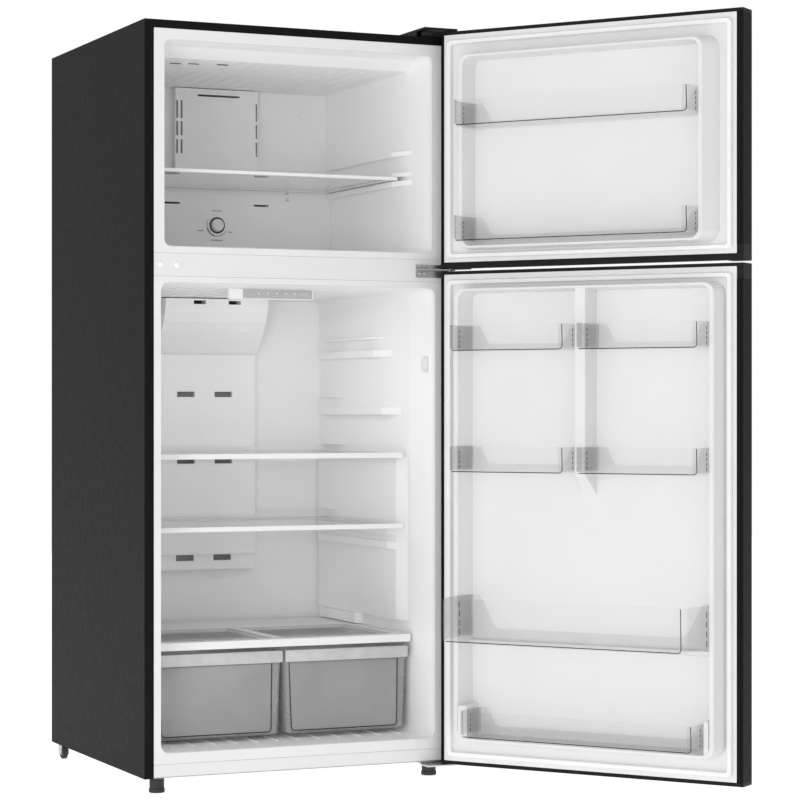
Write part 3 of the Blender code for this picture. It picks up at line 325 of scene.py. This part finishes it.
def add_loft(mesh, rings, caps=True, wrap=False):
    """Skin a list of rings of equal length."""
    rows = [[mesh.verts.new(p) for p in ring] for ring in rings]
    pairs = list(zip(rows, rows[1:] + rows[:1] if wrap else rows[1:]))
    made = []
    for low, high in pairs:
        for i in range(len(low)):
            j = (i + 1) % len(low)
            made.append(mesh.faces.new((low[i], low[j], high[j], high[i])))
    if caps and not wrap:
        mesh.faces.new(rows[0][::-1])
        mesh.faces.new(rows[-1])
    return made


def add_tube(mesh, path, radius, sides=8, closed=False):
    """Round bar along a path, with its frame carried along so that it never twists."""
    points = [Vector(p) for p in path]
    count = len(points)
    rings = []
    side = None
    for i, point in enumerate(points):
        ahead = points[(i + 1) % count] if closed or i < count - 1 else point
        behind = points[i - 1] if closed or i > 0 else point
        along = (ahead - behind).normalized()
        if side is None:
            side = along.orthogonal().normalized()
        side = (side - along * side.dot(along)).normalized()
        other = along.cross(side)
        rings.append([
            point + radius * (math.cos(math.tau * k / sides) * side + math.sin(math.tau * k / sides) * other)
            for k in range(sides)
        ])
    add_loft(mesh, rings, wrap=closed)


def tubes(paths, radius, sides=8, closed=False):
    """Mesh of round tubes along the given paths."""
    mesh = bmesh.new()
    for path in paths:
        add_tube(mesh, path, radius, sides, closed)
    return mesh


def turned(profile, center, axis="Z", sides=32, mesh=None):
    """Revolve (radius, height) pairs about an axis through the centre."""
    mesh = mesh or bmesh.new()
    rings = []
    for radius, height in profile:
        ring = []
        for k in range(sides):
            a = math.tau * k / sides
            u, v = radius * math.cos(a), radius * math.sin(a)
            offset = {"Z": (u, v, height), "Y": (u, height, v), "X": (height, u, v)}[axis]
            ring.append(tuple(c + o for c, o in zip(center, offset)))
        rings.append(ring)
    add_loft(mesh, rings)
    return mesh


def corner_arc(corner, before, after, radius, steps):
    """Points of the arc that rounds one corner of a plan outline."""
    corner, before, after = Vector(corner), Vector(before), Vector(after)
    to_before = (before - corner).normalized()
    to_after = (after - corner).normalized()
    half = to_before.angle(to_after) / 2
    reach = radius / math.tan(half)
    center = corner + (to_before + to_after).normalized() * radius / math.sin(half)
    start = corner + to_before * reach - center
    end = corner + to_after * reach - center
    sweep = start.angle(end)
    points = []
    for k in range(steps + 1):
        t = k / steps
        blend = (start * math.sin((1 - t) * sweep) + end * math.sin(t * sweep)) / math.sin(sweep)
        points.append(tuple(center + blend))
    return points


def rounded(points, radii, steps=5, splits=1):
    """Closed outline with a round corner at each point and extra points along each edge."""
    count = len(points)
    arcs = []
    for i in range(count):
        arcs.append(corner_arc(points[i], points[i - 1], points[(i + 1) % count], radii[i], steps))
    outline = []
    for i, arc in enumerate(arcs):
        outline += arc
        last, first = Vector(arc[-1]), Vector(arcs[(i + 1) % count][0])
        for k in range(1, splits):
            outline.append(tuple(last.lerp(first, k / splits)))
    return outline


def inset(points, amount):
    """Move each edge of a convex counter-clockwise outline inwards."""
    count = len(points)
    moved = []
    for i in range(count):
        here = Vector(points[i])
        before = (here - Vector(points[i - 1])).normalized()
        after = (Vector(points[(i + 1) % count]) - here).normalized()
        normal_a = Vector((-before.y, before.x))
        normal_b = Vector((-after.y, after.x))
        total = normal_a + normal_b
        moved.append(tuple(here + total * (2 * amount / total.length_squared)))
    return moved


def door_xyz(s, m, z):
    """Case-frame point of a place on the open door: along its width, out of its face, and up."""
    return (HINGE_EDGE - s, HINGE_DEPTH - m, z)


# ---------------------------------------------------------------- door bins

def build_bin(name, s0, s1, z0, height, depth, taper, ends):
    """Thin clear bin: rounded corners, rolled rim, low back rail with sloped risers, lugs, and a dark line of
    painted shade along its rounded front edge.

    It runs from s0 to s1 along the door. `taper` narrows its front and `ends` its back, at the hinge side
    first and the free side second.
    """
    z1 = z0 + height
    corners = [
        (s1 - ends[1], BACK_RAIL), (s0 + ends[0], BACK_RAIL), (s0, -DIKE),
        (s0 + taper[0], -depth), (s1 - taper[1], -depth), (s1, -DIKE),
    ]
    low_rail = z0 + (0.30 if height < 0.08 else 0.22) * height
    slope = (z1 - low_rail) * 0.52
    left, right = s0 + ends[0] + RISER_GAP, s1 - ends[1] - RISER_GAP

    def rim(s, m):
        if m < BACK_RAIL - 0.006:
            return z1
        reach = min(s - left, right - s) / slope
        return z1 - (z1 - low_rail) * min(1.0, max(0.0, reach))

    splits = 48

    def ring(amount, height_of, soft=0.0):
        shape = inset(corners, amount)
        radii = [max(0.0012, r - amount) for r in (0.005, 0.005, 0.008, 0.011 - soft, 0.011 - soft, 0.008)]
        return [(s, m, height_of(s, m)) for s, m in rounded(shape, radii, 4, splits)]

    def level(z):
        return lambda s, m: z

    rings = [
        ring(0.0040, level(z0)), ring(0.0012, level(z0 + 0.0008)), ring(0.0003, level(z0 + 0.0028)),
        ring(0.0, level(z0 + 0.0050)), ring(0.0, lambda s, m: rim(s, m) - 0.0006), ring(0.0004, rim),
        ring(BIN_WALL - 0.0004, rim), ring(BIN_WALL, lambda s, m: rim(s, m) - 0.0006),
        ring(BIN_WALL, level(z0 + 0.0070)), ring(BIN_WALL + 0.0015, level(z0 + 0.0036)),
        ring(BIN_WALL + 0.0045, level(z0 + 0.0026)),
    ]
    rings = [[door_xyz(*point) for point in row] for row in rings]
    mesh = bmesh.new()
    faces = add_loft(mesh, rings)
    ends_from = 5 + splits
    row = len(rings[0])
    for index, face in enumerate(faces):
        column = index % row
        middle = face.calc_center_median()
        s = HINGE_EDGE - middle.x
        # Faces near the ends take the end greys: index 1 the darker hinge-side end (painted shade), index 2
        # the free-side end.
        if middle.z > z0 + 0.005 and ends_from <= column:
            if s < s0 + END_ZONE:
                face.material_index = 1
            elif s > s1 - END_ZONE:
                face.material_index = 2
    shell = piece(name + "_shell", mesh, [BIN, BIN_HINGE_END_SHADED, BIN_FREE], name, DOOR, smooth=50.0)
    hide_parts(name)

    # Painted shade: a dark line along the lower front edge that turns up the free-side corner, where the
    # clear plastic's rounded edge looks dark.
    front = -depth - 0.0001
    a, b = s0 + taper[0], s1 - taper[1]
    line = [door_xyz(a + 0.010, front, z0 + 0.0012)]
    line += [door_xyz(a + 0.010 + (b - a - 0.018) * k / 12, front, z0 + 0.0012) for k in range(1, 13)]
    turn = 0.008
    for k in range(1, 7):
        angle = math.pi / 2 * k / 6
        rise = turn * (1 - math.cos(angle))
        line.append(door_xyz(b - turn + turn * math.sin(angle), front + 0.0006, z0 + 0.0012 + rise))
    line.append(door_xyz(b - 0.001, front + 0.0006, z1 - 0.0015))
    piece(name + "_painted_edge_shade", tubes([line], 0.0011, 6), BIN_LINE, name, DOOR)

    ticks = []
    for s in (s0 + 0.0034, s1 - 0.0046):
        pitch = (height - 0.014) / 4
        for k in range(4):
            low = z0 + 0.008 + pitch * k
            ticks.append(((HINGE_EDGE - s - 0.0012, HINGE_DEPTH + DIKE - 0.0010, low),
                          (HINGE_EDGE - s, HINGE_DEPTH + DIKE + 0.0008, low + pitch * 0.62)))
    piece(name + "_lugs", boxes(ticks), BIN_LINE, name, DOOR, bevel=0.0002)


def build_bins():
    """Clear shells of the eight door bins."""
    for name, z0 in (("freezer_upper_bin", 1.4235), ("freezer_lower_bin", 1.1690)):
        tapers, ends = (0.0045, 0.0015), (0.0085, 0.0095)
        build_bin(name, 0.0785, 0.6442, z0, WIDE_BIN_HEIGHT, SMALL_BIN_DEPTH, tapers, ends)
    for row, z0 in (("upper", 0.9265), ("middle", 0.6590)):
        left, right = "fridge_%s_bin_left" % row, "fridge_%s_bin_right" % row
        tapers, ends = (0.0045, 0.0030), (0.0115, 0.0085)
        build_bin(left, 0.0680, 0.3555, z0, SMALL_BIN_HEIGHT, SMALL_BIN_DEPTH, tapers, ends)
        tapers, ends = (0.0010, 0.0030), (0.0085, 0.0120)
        build_bin(right, 0.3820, 0.6694, z0, SMALL_BIN_HEIGHT, SMALL_BIN_DEPTH, tapers, ends)
    tapers, ends = (0.0130, 0.0200), (0.0115, 0.0120)
    build_bin("fridge_gallon_bin", 0.0680, 0.6694, 0.2880, 0.0950, 0.148, tapers, ends)
    tapers, ends = (0.0010, 0.0040), (0.0040, 0.0040)
    build_bin("fridge_bottom_bin", 0.0950, 0.6545, 0.0745, WIDE_BIN_HEIGHT, 0.098, tapers, ends)


# ---------------------------------------------------------------- crispers

def build_crisper(name, x0, x1):
    """Frosted front panel, a pull band along its rim, and a dark line of painted shade in the groove around
    the panel.
    """
    z0, z1 = 0.0735, 0.2275
    front = CRISPER_FRONT - 0.0002
    slant = 0.0062

    outline = [(x0 + 0.0105, z1), (x0 + 0.0105 + slant, z0), (x1 - 0.0270, z0), (x1 - 0.0250, z1)]
    soft = rounded(outline, (0.001, 0.009, 0.009, 0.001), 6, 6)
    core = rounded(inset(outline, 0.002), (0.001, 0.007, 0.007, 0.001), 6, 6)
    mesh = bmesh.new()
    add_loft(mesh, [
        [(x, front + 0.0004, z) for x, z in soft], [(x, front - 0.0012, z) for x, z in core],
    ])
    piece(name + "_panel", mesh, CRISPER_PANEL, name)

    # Painted shade: a dark line in the groove around the sides and bottom of the front panel.
    path = [(x, front - 0.0012, z) for x, z in soft]
    keep = [p for p in path if p[2] < z1 - 0.0005]
    start = max(range(len(keep)), key=lambda i: keep[i][2] - keep[i][0])
    keep = keep[start:] + keep[:start]
    piece(name + "_panel_groove_shade", tubes([keep], 0.0010, 6), BIN_LINE, name)

    band = []
    for y, grow in ((-0.0034, 0.0), (-0.0062, 0.0), (-0.0072, 0.0012)):
        left, right = x0 + 0.0008 + grow, x1 - 0.0008 - grow
        low, high = 0.2290 + grow, 0.2550 - grow
        shape = rounded([(left, low), (right, low), (right, high), (left, high)], (0.003,) * 4, 4)
        band.append([(x, CRISPER_FRONT + y, z) for x, z in shape])
    mesh = bmesh.new()
    add_loft(mesh, band)
    piece(name + "_pull_band", mesh, CRISPER_BAND, name)

    ribs = []
    for x in (x0 + 0.0065, x1 - 0.0125):
        for z in (0.0900, 0.1080):
            corner = (x + 0.006, CRISPER_FRONT + 0.0008, z + 0.0010)
            ribs.append(((x - 0.006, CRISPER_FRONT - 0.0006, z), corner))
    for k in range(7):
        x = x0 + 0.035 + (x1 - x0 - 0.07) * k / 6
        ribs.append(((x - 0.0008, CRISPER_FRONT + 0.020, 0.0684), (x + 0.0008, 0.395, 0.0694)))
    piece(name + "_ribs", boxes(ribs), CRISPER, name, bevel=0.0003)


# ---------------------------------------------------------------- compartments

def build_ceiling_ribs():
    """Moulded ribs on both ceilings and the fridge floor, and dark patches of painted shade for the drain
    slots in the freezer ceiling.
    """
    ribs = []
    for k in range(15):
        x = -0.252 + 0.036 * k
        ribs.append(((x - 0.0009, 0.122, 1.5718), (x + 0.0009, 0.530, 1.5745)))
    mesh = bmesh.new()
    for (x0, y0, z0), (x1, y1, z1) in ribs:
        drop = (y1 - y0) * 0.0135
        low = [(x0, y0, z0 + 0.0014), (x1, y0, z0 + 0.0014), (x1, y0, z1), (x0, y0, z1)]
        high = [(x, y1, z - drop) for x, y, z in low]
        add_loft(mesh, [low, high])
    piece("freezer_ceiling_ribs", mesh, LINER, "cabinet", bevel=0.0003)

    mesh = bmesh.new()
    for k in range(15):
        x = -0.273 + 0.039 * k
        section = [(x - 0.0010, 1.0688), (x + 0.0010, 1.0688), (x + 0.0010, 1.0708), (x - 0.0010, 1.0708)]
        add_loft(mesh, [[(a, 0.13, z) for a, z in section], [(a, 0.515, z - 0.0040) for a, z in section]])
    piece("fridge_ceiling_ribs", mesh, LINER, "cabinet", bevel=0.0003)

    # Painted shade: dark patches where the drain slots are.
    slots = [((x - 0.0125, y, 1.5715), (x + 0.0125, y + 0.0035, 1.5732)) for x, y in
             ((-0.230, 0.180), (-0.190, 0.170), (-0.125, 0.160), (-0.262, 0.250))]
    piece("ceiling_drain_slot_shade", boxes(slots), VOID, "cabinet", bevel=0.0003)

    floor_ribs = []
    for k in range(12):
        x = -0.275 + 0.050 * k
        floor_ribs.append(((x - 0.0010, 0.075, 0.0555), (x + 0.0010, 0.400, 0.0582)))
    piece("fridge_floor_ribs", boxes(floor_ribs), LINER, "cabinet", bevel=0.0004)


def build_vent_shades():
    """Painted shade: dark sheets behind the slots of the back covers, for the shade inside the slots."""
    spans = [((-0.106, 0.5604, 1.405), (0.107, 0.5624, 1.556))]
    for low, high in ((1.286, 1.295), (1.357, 1.366)):
        for left, right in ((0.092, 0.136), (-0.136, -0.092)):
            spans.append(((left, 0.5604, low), (right, 0.5624, high)))
    piece("evaporator_slot_shade", boxes(spans), VOID, "cabinet", bevel=0.0003)

    spans, heads = [], []
    for low, high in ((0.8276, 0.8408), (0.6655, 0.6785), (0.4290, 0.4435)):
        y = 0.6372 if low > 0.45 else 0.6374
        for x0, x1 in ((0.0258, 0.0707), (-0.0707, -0.0258)):
            spans.append(((x0, y - 0.0035, low + 0.0003), (x1, y, high - 0.0003)))
    for x0, x1 in ((0.0293, 0.0597), (-0.0597, -0.0293)):
        heads.append(((x0, 0.5660, 1.0503), (x1, 0.5690, 1.0587)))
    piece("air_duct_slot_shade", boxes(spans), DUCT_VOID, "cabinet", bevel=0.0002)
    piece("air_duct_head_shade", boxes(heads), VOID, "cabinet", bevel=0.0002)


def build_dial_marks():
    """Dark ring around the freezer knob, the arc of its scale, and strokes in place of words."""
    center = DIAL_CENTER
    arc_radius = 0.0262
    skin = 0.0003
    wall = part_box("evaporator_cover")[0].y - ORIGIN.y - 0.0001
    ring = bmesh.new()
    circle = []
    for radius, y in ((0.0197, 0.0), (0.0195, -0.0014), (0.0160, -0.0014), (0.0158, 0.0)):
        circle.append([(center[0] + radius * math.cos(math.tau * k / 48), wall + y,
                        center[2] + radius * math.sin(math.tau * k / 48)) for k in range(48)])
    add_loft(ring, circle, wrap=True)
    piece("dial_ring", ring, BIN_LINE, "cabinet")

    marks = bmesh.new()
    for first, last, thick in ((150, 196, 0.0004), (196, 258, 0.0012), (262, 330, 0.0005)):
        count = 12
        rows = []
        for k in range(count + 1):
            angle = math.radians(first + (last - first) * k / count)
            c, s = math.cos(angle), math.sin(angle)
            near, far = arc_radius - thick, arc_radius + thick
            section = ((near, wall), (far, wall), (far, wall - skin), (near, wall - skin))
            rows.append([(center[0] + r * c, y, center[2] + r * s) for r, y in section])
        add_loft(marks, rows)
    strokes = (
        (0.0, 0.0345, 0.013), (0.0, -0.0360, 0.015), (-0.042, -0.0140, 0.008), (0.034, -0.0160, 0.005),
    )
    for x, rise, half in strokes:
        z = center[2] + rise
        for k in range(5):
            left = x - half + 2 * half * k / 5
            add_box(marks, (left, wall - skin, z - 0.0009), (left + half * 0.30, wall, z + 0.0009))
    piece("dial_scale", marks, INK, "cabinet")


def build_back_cover_details():
    """Clips, edge beads, seam and plug of the freezer's back cover."""
    clips = []
    for z in (1.3205, 1.3035):
        clips.append(((0.1760, 0.5335, z), (0.1850, 0.5355, z + 0.0022)))
        clips.append(((0.1775, 0.5335, z + 0.0050), (0.1835, 0.5355, z + 0.0066)))
    piece("cover_clip_marks", boxes(clips), PALE_INK, "cabinet", bevel=0.0002)
    beads = []
    for side in (-1, 1):
        beads.append([(side * 0.2932, 0.5362, 1.167), (side * 0.2932, 0.5362, 1.3685)])
        beads.append([(side * 0.2926, 0.5586, 1.3690), (side * 0.2926, 0.5586, 1.5650)])
        beads.append([(side * 0.2920, BACK_COVER_FACE, 1.5664), (side * 0.1070, BACK_COVER_FACE, 1.5664)])
    piece("cover_edge_beads", tubes(beads, 0.0023, 8), COVER, "cabinet")
    seam = boxes([((-0.262, 0.5343, 1.3262), (0.262, 0.5352, 1.3270))])
    piece("cover_seam", seam, PALE_INK, "cabinet", bevel=0.0001)
    dish = [(0.0105, 0.0), (0.0105, -0.0004), (0.0095, -0.0010), (0.0085, -0.0004)]
    plug = turned(dish, (0.2280, 0.5574, 1.5150), "Y", 40)
    piece("cover_plug", plug, COVER, "cabinet")


def build_cover_marks():
    """Row of small raised dots along the crisper cover's front edge, and the panel's indicator lights."""
    mesh = bmesh.new()
    for x0, x1 in ((-0.270, -0.030), (0.030, 0.270)):
        for k in range(22):
            x = x0 + (x1 - x0) * k / 21
            tall = 0.0016 if k in (0, 1, 3, 5, 17, 18, 20) else 0.0008
            turned([(tall, 0.2820), (tall, 0.28225), (tall * 0.7, 0.28245)], (x, 0.1040, 0.0), "Z", 10, mesh)
    piece("crisper_cover_dots", mesh, PALE_INK, "cabinet")
    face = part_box("control_panel")[0].y - ORIGIN.y
    lights = (-0.046, -0.024, -0.002, 0.020, 0.042)
    lamps = bmesh.new()
    for x in lights:
        turned([(0.0016, 0.0), (0.0016, -0.0003), (0.0010, -0.0006)], (x, face, 1.0591), "Y", 16, lamps)
    piece("control_lights", lamps, LIGHT, "cabinet")
    dashes = [((x - 0.004, face - 0.0002, 1.0535), (x + 0.004, face, 1.0543)) for x in lights]
    dashes.append(((0.055, face - 0.0002, 1.0560), (0.075, face, 1.0620)))
    piece("control_marks", boxes(dashes), PALE_INK, "cabinet")


def build_switch_plate():
    """Grey frame around the door switch on the right wall of the fridge."""
    low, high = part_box("door_switch")
    y0, y1 = low.y - ORIGIN.y - 0.0050, high.y - ORIGIN.y + 0.0050
    z0, z1 = low.z - ORIGIN.z - 0.0050, high.z - ORIGIN.z + 0.0050
    wall = high.x - ORIGIN.x - 0.0030
    mesh = bmesh.new()
    outline = rounded([(y0, z0), (y1, z0), (y1, z1), (y0, z1)], (0.003,) * 4, 4, 6)
    add_tube(mesh, [(wall, y, z) for y, z in outline], 0.0006, 6, closed=True)
    piece("door_switch_frame", mesh, SATIN_GREY, "cabinet")


def build_screws():
    """Domed screw heads on the hinges and the rear sheet, and the caps on the mullion's screws."""
    def head(mesh, center, axis, out, radius=0.0046):
        profile = [(radius, 0.0), (radius, out * 0.0008)]
        profile += [(radius * 0.86, out * 0.0018), (radius * 0.5, out * 0.0024)]
        turned(profile, center, axis, 20, mesh)

    middle = bmesh.new()
    for x in (0.2870, 0.2990):
        for z in (1.1045, 1.1215):
            head(middle, (x, -0.0036, z), "Y", -1, 0.0032)
    piece("middle_hinge_screws", middle, PLATED, "cabinet")
    caps = bmesh.new()
    dome = [(0.0066, -0.0002), (0.0066, -0.0006), (0.0052, -0.0016), (0.0026, -0.0020)]
    for x in (-0.3269, -0.2904):
        turned(dome, (x, 0.0, 1.1111), "Y", 28, caps)
    piece("mullion_screw_caps", caps, SEAL, "cabinet")
    low = bmesh.new()
    for x in (0.303, 0.342):
        head(low, (x, 0.0075, -0.0055), "Z", -1, 0.0040)
    piece("bottom_hinge_screws", low, PLATED, "cabinet")
    rear = bmesh.new()
    for x in (-0.345, -0.115, 0.115, 0.345):
        for z in (0.252, 1.620):
            head(rear, (x, 0.6928, z), "Y", 1, 0.0038)
    for z in (0.60, 1.10):
        for x in (-0.345, 0.345):
            head(rear, (x, 0.6928, z), "Y", 1, 0.0038)
    piece("rear_panel_screws", rear, PLATED, "cabinet")


def build_rear_beads():
    """Shallow pressed beads that stiffen the rear sheet."""
    mesh = bmesh.new()
    for z in (0.36, 0.62, 0.88, 1.14, 1.40):
        foot, crest = [
            rounded([(-x, z - h), (x, z - h), (x, z + h), (-x, z + h)], (radius,) * 4, 8)
            for x, h, radius in ((0.31, 0.020, 0.018), (0.305, 0.015, 0.014))
        ]
        low = [(x, REAR_SHEET, a) for x, a in foot]
        high = [(x, REAR_SHEET + 0.0018, a) for x, a in crest]
        add_loft(mesh, [low, high])
    piece("rear_sheet_beads", mesh, SPANGLE, "cabinet")


def build_gasket_lines():
    """Fine bellows folds that run around each door seal."""
    for door, low, high in (("freezer_door", 1.1370, 1.6290), ("fridge_door", 0.0165, 1.0890)):
        mesh = bmesh.new()
        for amount, m in ((0.0030, -0.0084), (0.0062, -0.0093), (0.0090, -0.0084)):
            s0, s1 = 0.0150 + amount, WIDTH - 0.0235 - amount
            z0, z1 = low + amount, high - amount
            path = rounded([(s0, z0), (s1, z0), (s1, z1), (s0, z1)], (0.008,) * 4, 5, 8)
            add_tube(mesh, [door_xyz(s, m, z) for s, z in path], 0.0003, 6, closed=True)
        piece(door + "_seal_folds", mesh, SEAL, door, DOOR)


def dress_nodes():
    """Materials and softened edges of the CAD nodes that stay visible."""
    dress(PAINT, "outer_case", "freezer_door_skin", "fridge_door_skin")
    dress(EDGE_PAINT, "freezer_door_top_cap", "freezer_door_bottom_cap", "fridge_door_top_cap",
          "fridge_door_bottom_cap", "top_hinge_cover", "machine_cover", "fan_motor")
    dress(LINER, "fridge_liner", "fridge_air_duct")
    dress(FREEZER_LINER, "freezer_liner")
    dress(DOOR_LINER, "freezer_door_liner", "fridge_door_liner")
    dress(FACE_TRIM, "mullion_cover", "toe_trim")
    dress(TRIM, "control_housing", "crisper_cover", "freezer_shelf_frame", "upper_shelf_frame",
          "lower_shelf_frame", "temperature_knob", "evaporator_fan", "door_switch")
    dress(COVER, "evaporator_cover")
    dress(SEAL, "freezer_door_gasket", "fridge_door_gasket")
    dress(FOAM, "cabinet_foam", "freezer_door_foam", "fridge_door_foam")
    dress(SPANGLE, "rear_panel", "base_pan")
    dress(PLATED, "bottom_hinge")
    dress(HINGE, "top_hinge")
    dress(BRACKET, "middle_hinge")
    dress(RUBBER, "front_foot_left", "front_foot_right", "rear_roller_left", "rear_roller_right")
    dress(SATIN_GREY, "control_panel")
    dress(SHELL, "compressor", "condenser_coil")
    dress(FINS, "evaporator_coil")
    dress(GLASS, "freezer_shelf_glass", "upper_shelf_glass", "lower_shelf_glass", "crisper_glass_left",
          "crisper_glass_right")
    dress(CRISPER, "left_crisper", "right_crisper")
    dress(LENS, "lamp_lens")
    crisp(16.0, "freezer_liner")
    soften(0.0014, "freezer_shelf_frame", "upper_shelf_frame", "lower_shelf_frame", "crisper_cover")
    soften(0.0008, "control_panel", "top_hinge", "top_hinge_cover", "middle_hinge", "bottom_hinge",
           "door_switch")
    soften(0.0005, "freezer_shelf_glass", "upper_shelf_glass", "lower_shelf_glass", "crisper_glass_left",
           "crisper_glass_right", "toe_trim", "rear_panel")


# ---------------------------------------------------------------- stage, lights and camera

def build_stage():
    """Pale floor that glows a little, so that it meets the backdrop without a line."""
    mesh = bmesh.new()
    reach = 9.0
    corners = ((-reach, -reach, 0), (reach, -reach, 0), (reach, reach, 0), (-reach, reach, 0))
    mesh.faces.new([mesh.verts.new(p) for p in corners])
    data = bpy.data.meshes.new("floor")
    mesh.to_mesh(data)
    mesh.free()
    floor = bpy.data.objects.new("floor", data)
    floor.location.z = -0.0002
    bpy.context.scene.collection.objects.link(floor)
    pale = finish("pale_floor", (0.62, 0.62, 0.62), 0.8, mottle=0.01, mottle_scale=1.5, grain=60.0)
    glow = pale.node_tree.nodes["Principled BSDF"]
    glow.inputs["Emission Color"].default_value = (1.0, 1.0, 1.0, 1.0)
    glow.inputs["Emission Strength"].default_value = 0.78
    data.materials.append(pale)


def area_light(name, location, target, size, power):
    """Soft rectangular light aimed at a point."""
    data = bpy.data.lights.new(name, "AREA")
    data.shape = "RECTANGLE"
    data.size, data.size_y = size
    data.energy = power
    lamp = bpy.data.objects.new(name, data)
    lamp.location = location
    lamp.visible_camera = False
    lamp.rotation_euler = (Vector(target) - Vector(location)).to_track_quat("-Z", "Y").to_euler()
    bpy.context.scene.collection.objects.link(lamp)


def build_lights():
    """Even studio sky, a large panel in front, a weak one at the side, and the cabinet lamp."""
    world = bpy.data.worlds.new("studio")
    bpy.context.scene.world = world
    world.use_nodes = True
    tree = world.node_tree
    sky = tree.nodes["Background"]
    sky.inputs["Color"].default_value = (1.0, 1.0, 1.0, 1.0)
    sky.inputs["Strength"].default_value = 0.70
    backdrop = node(tree, "ShaderNodeBackground", Color=(1.0, 1.0, 1.0, 1.0), Strength=1.0)
    seen = tree.nodes.new("ShaderNodeLightPath")
    choose = tree.nodes.new("ShaderNodeMixShader")
    tree.links.new(seen.outputs["Is Camera Ray"], choose.inputs["Fac"])
    tree.links.new(sky.outputs["Background"], choose.inputs[1])
    tree.links.new(backdrop.outputs["Background"], choose.inputs[2])
    tree.links.new(choose.outputs["Shader"], tree.nodes["World Output"].inputs["Surface"])
    area_light("front_panel", (-4.2, -4.4, 0.9), (0.0, 0.0, 0.7), (2.4, 2.0), 84.0)
    area_light("cabinet_lamp", (-0.2277, 0.1300, 1.0600), (-0.2000, 0.2600, 0.6000), (0.12, 0.06), 0.30)
    area_light("side_panel", (-4.0, 0.6, 2.0), (0.0, 0.0, 0.8), (2.0, 2.0), 6.0)


def build_camera():
    """Camera at the height and angle of the photo."""
    data = bpy.data.cameras.new("camera")
    camera = bpy.data.objects.new("camera", data)
    camera.location = ORIGIN + Vector((-2.13122, -5.23234, 0.79627))
    camera.rotation_euler = (math.radians(90.0), 0.0, -math.radians(24.373))
    data.sensor_width = 36.0
    data.lens = 114.82
    data.shift_x = 0.0004
    data.shift_y = 0.0124
    data.clip_end = 60.0
    bpy.context.scene.collection.objects.link(camera)
    bpy.context.scene.camera = camera
    bpy.context.scene.view_settings.view_transform = "Standard"


dress_nodes()
build_bins()
build_crisper("left_crisper", -0.3060, -0.0030)
build_crisper("right_crisper", 0.0030, 0.3060)
build_ceiling_ribs()
build_vent_shades()
build_dial_marks()
build_back_cover_details()
build_cover_marks()
build_switch_plate()
build_screws()
build_rear_beads()
build_gasket_lines()
build_stage()
build_lights()
build_camera()
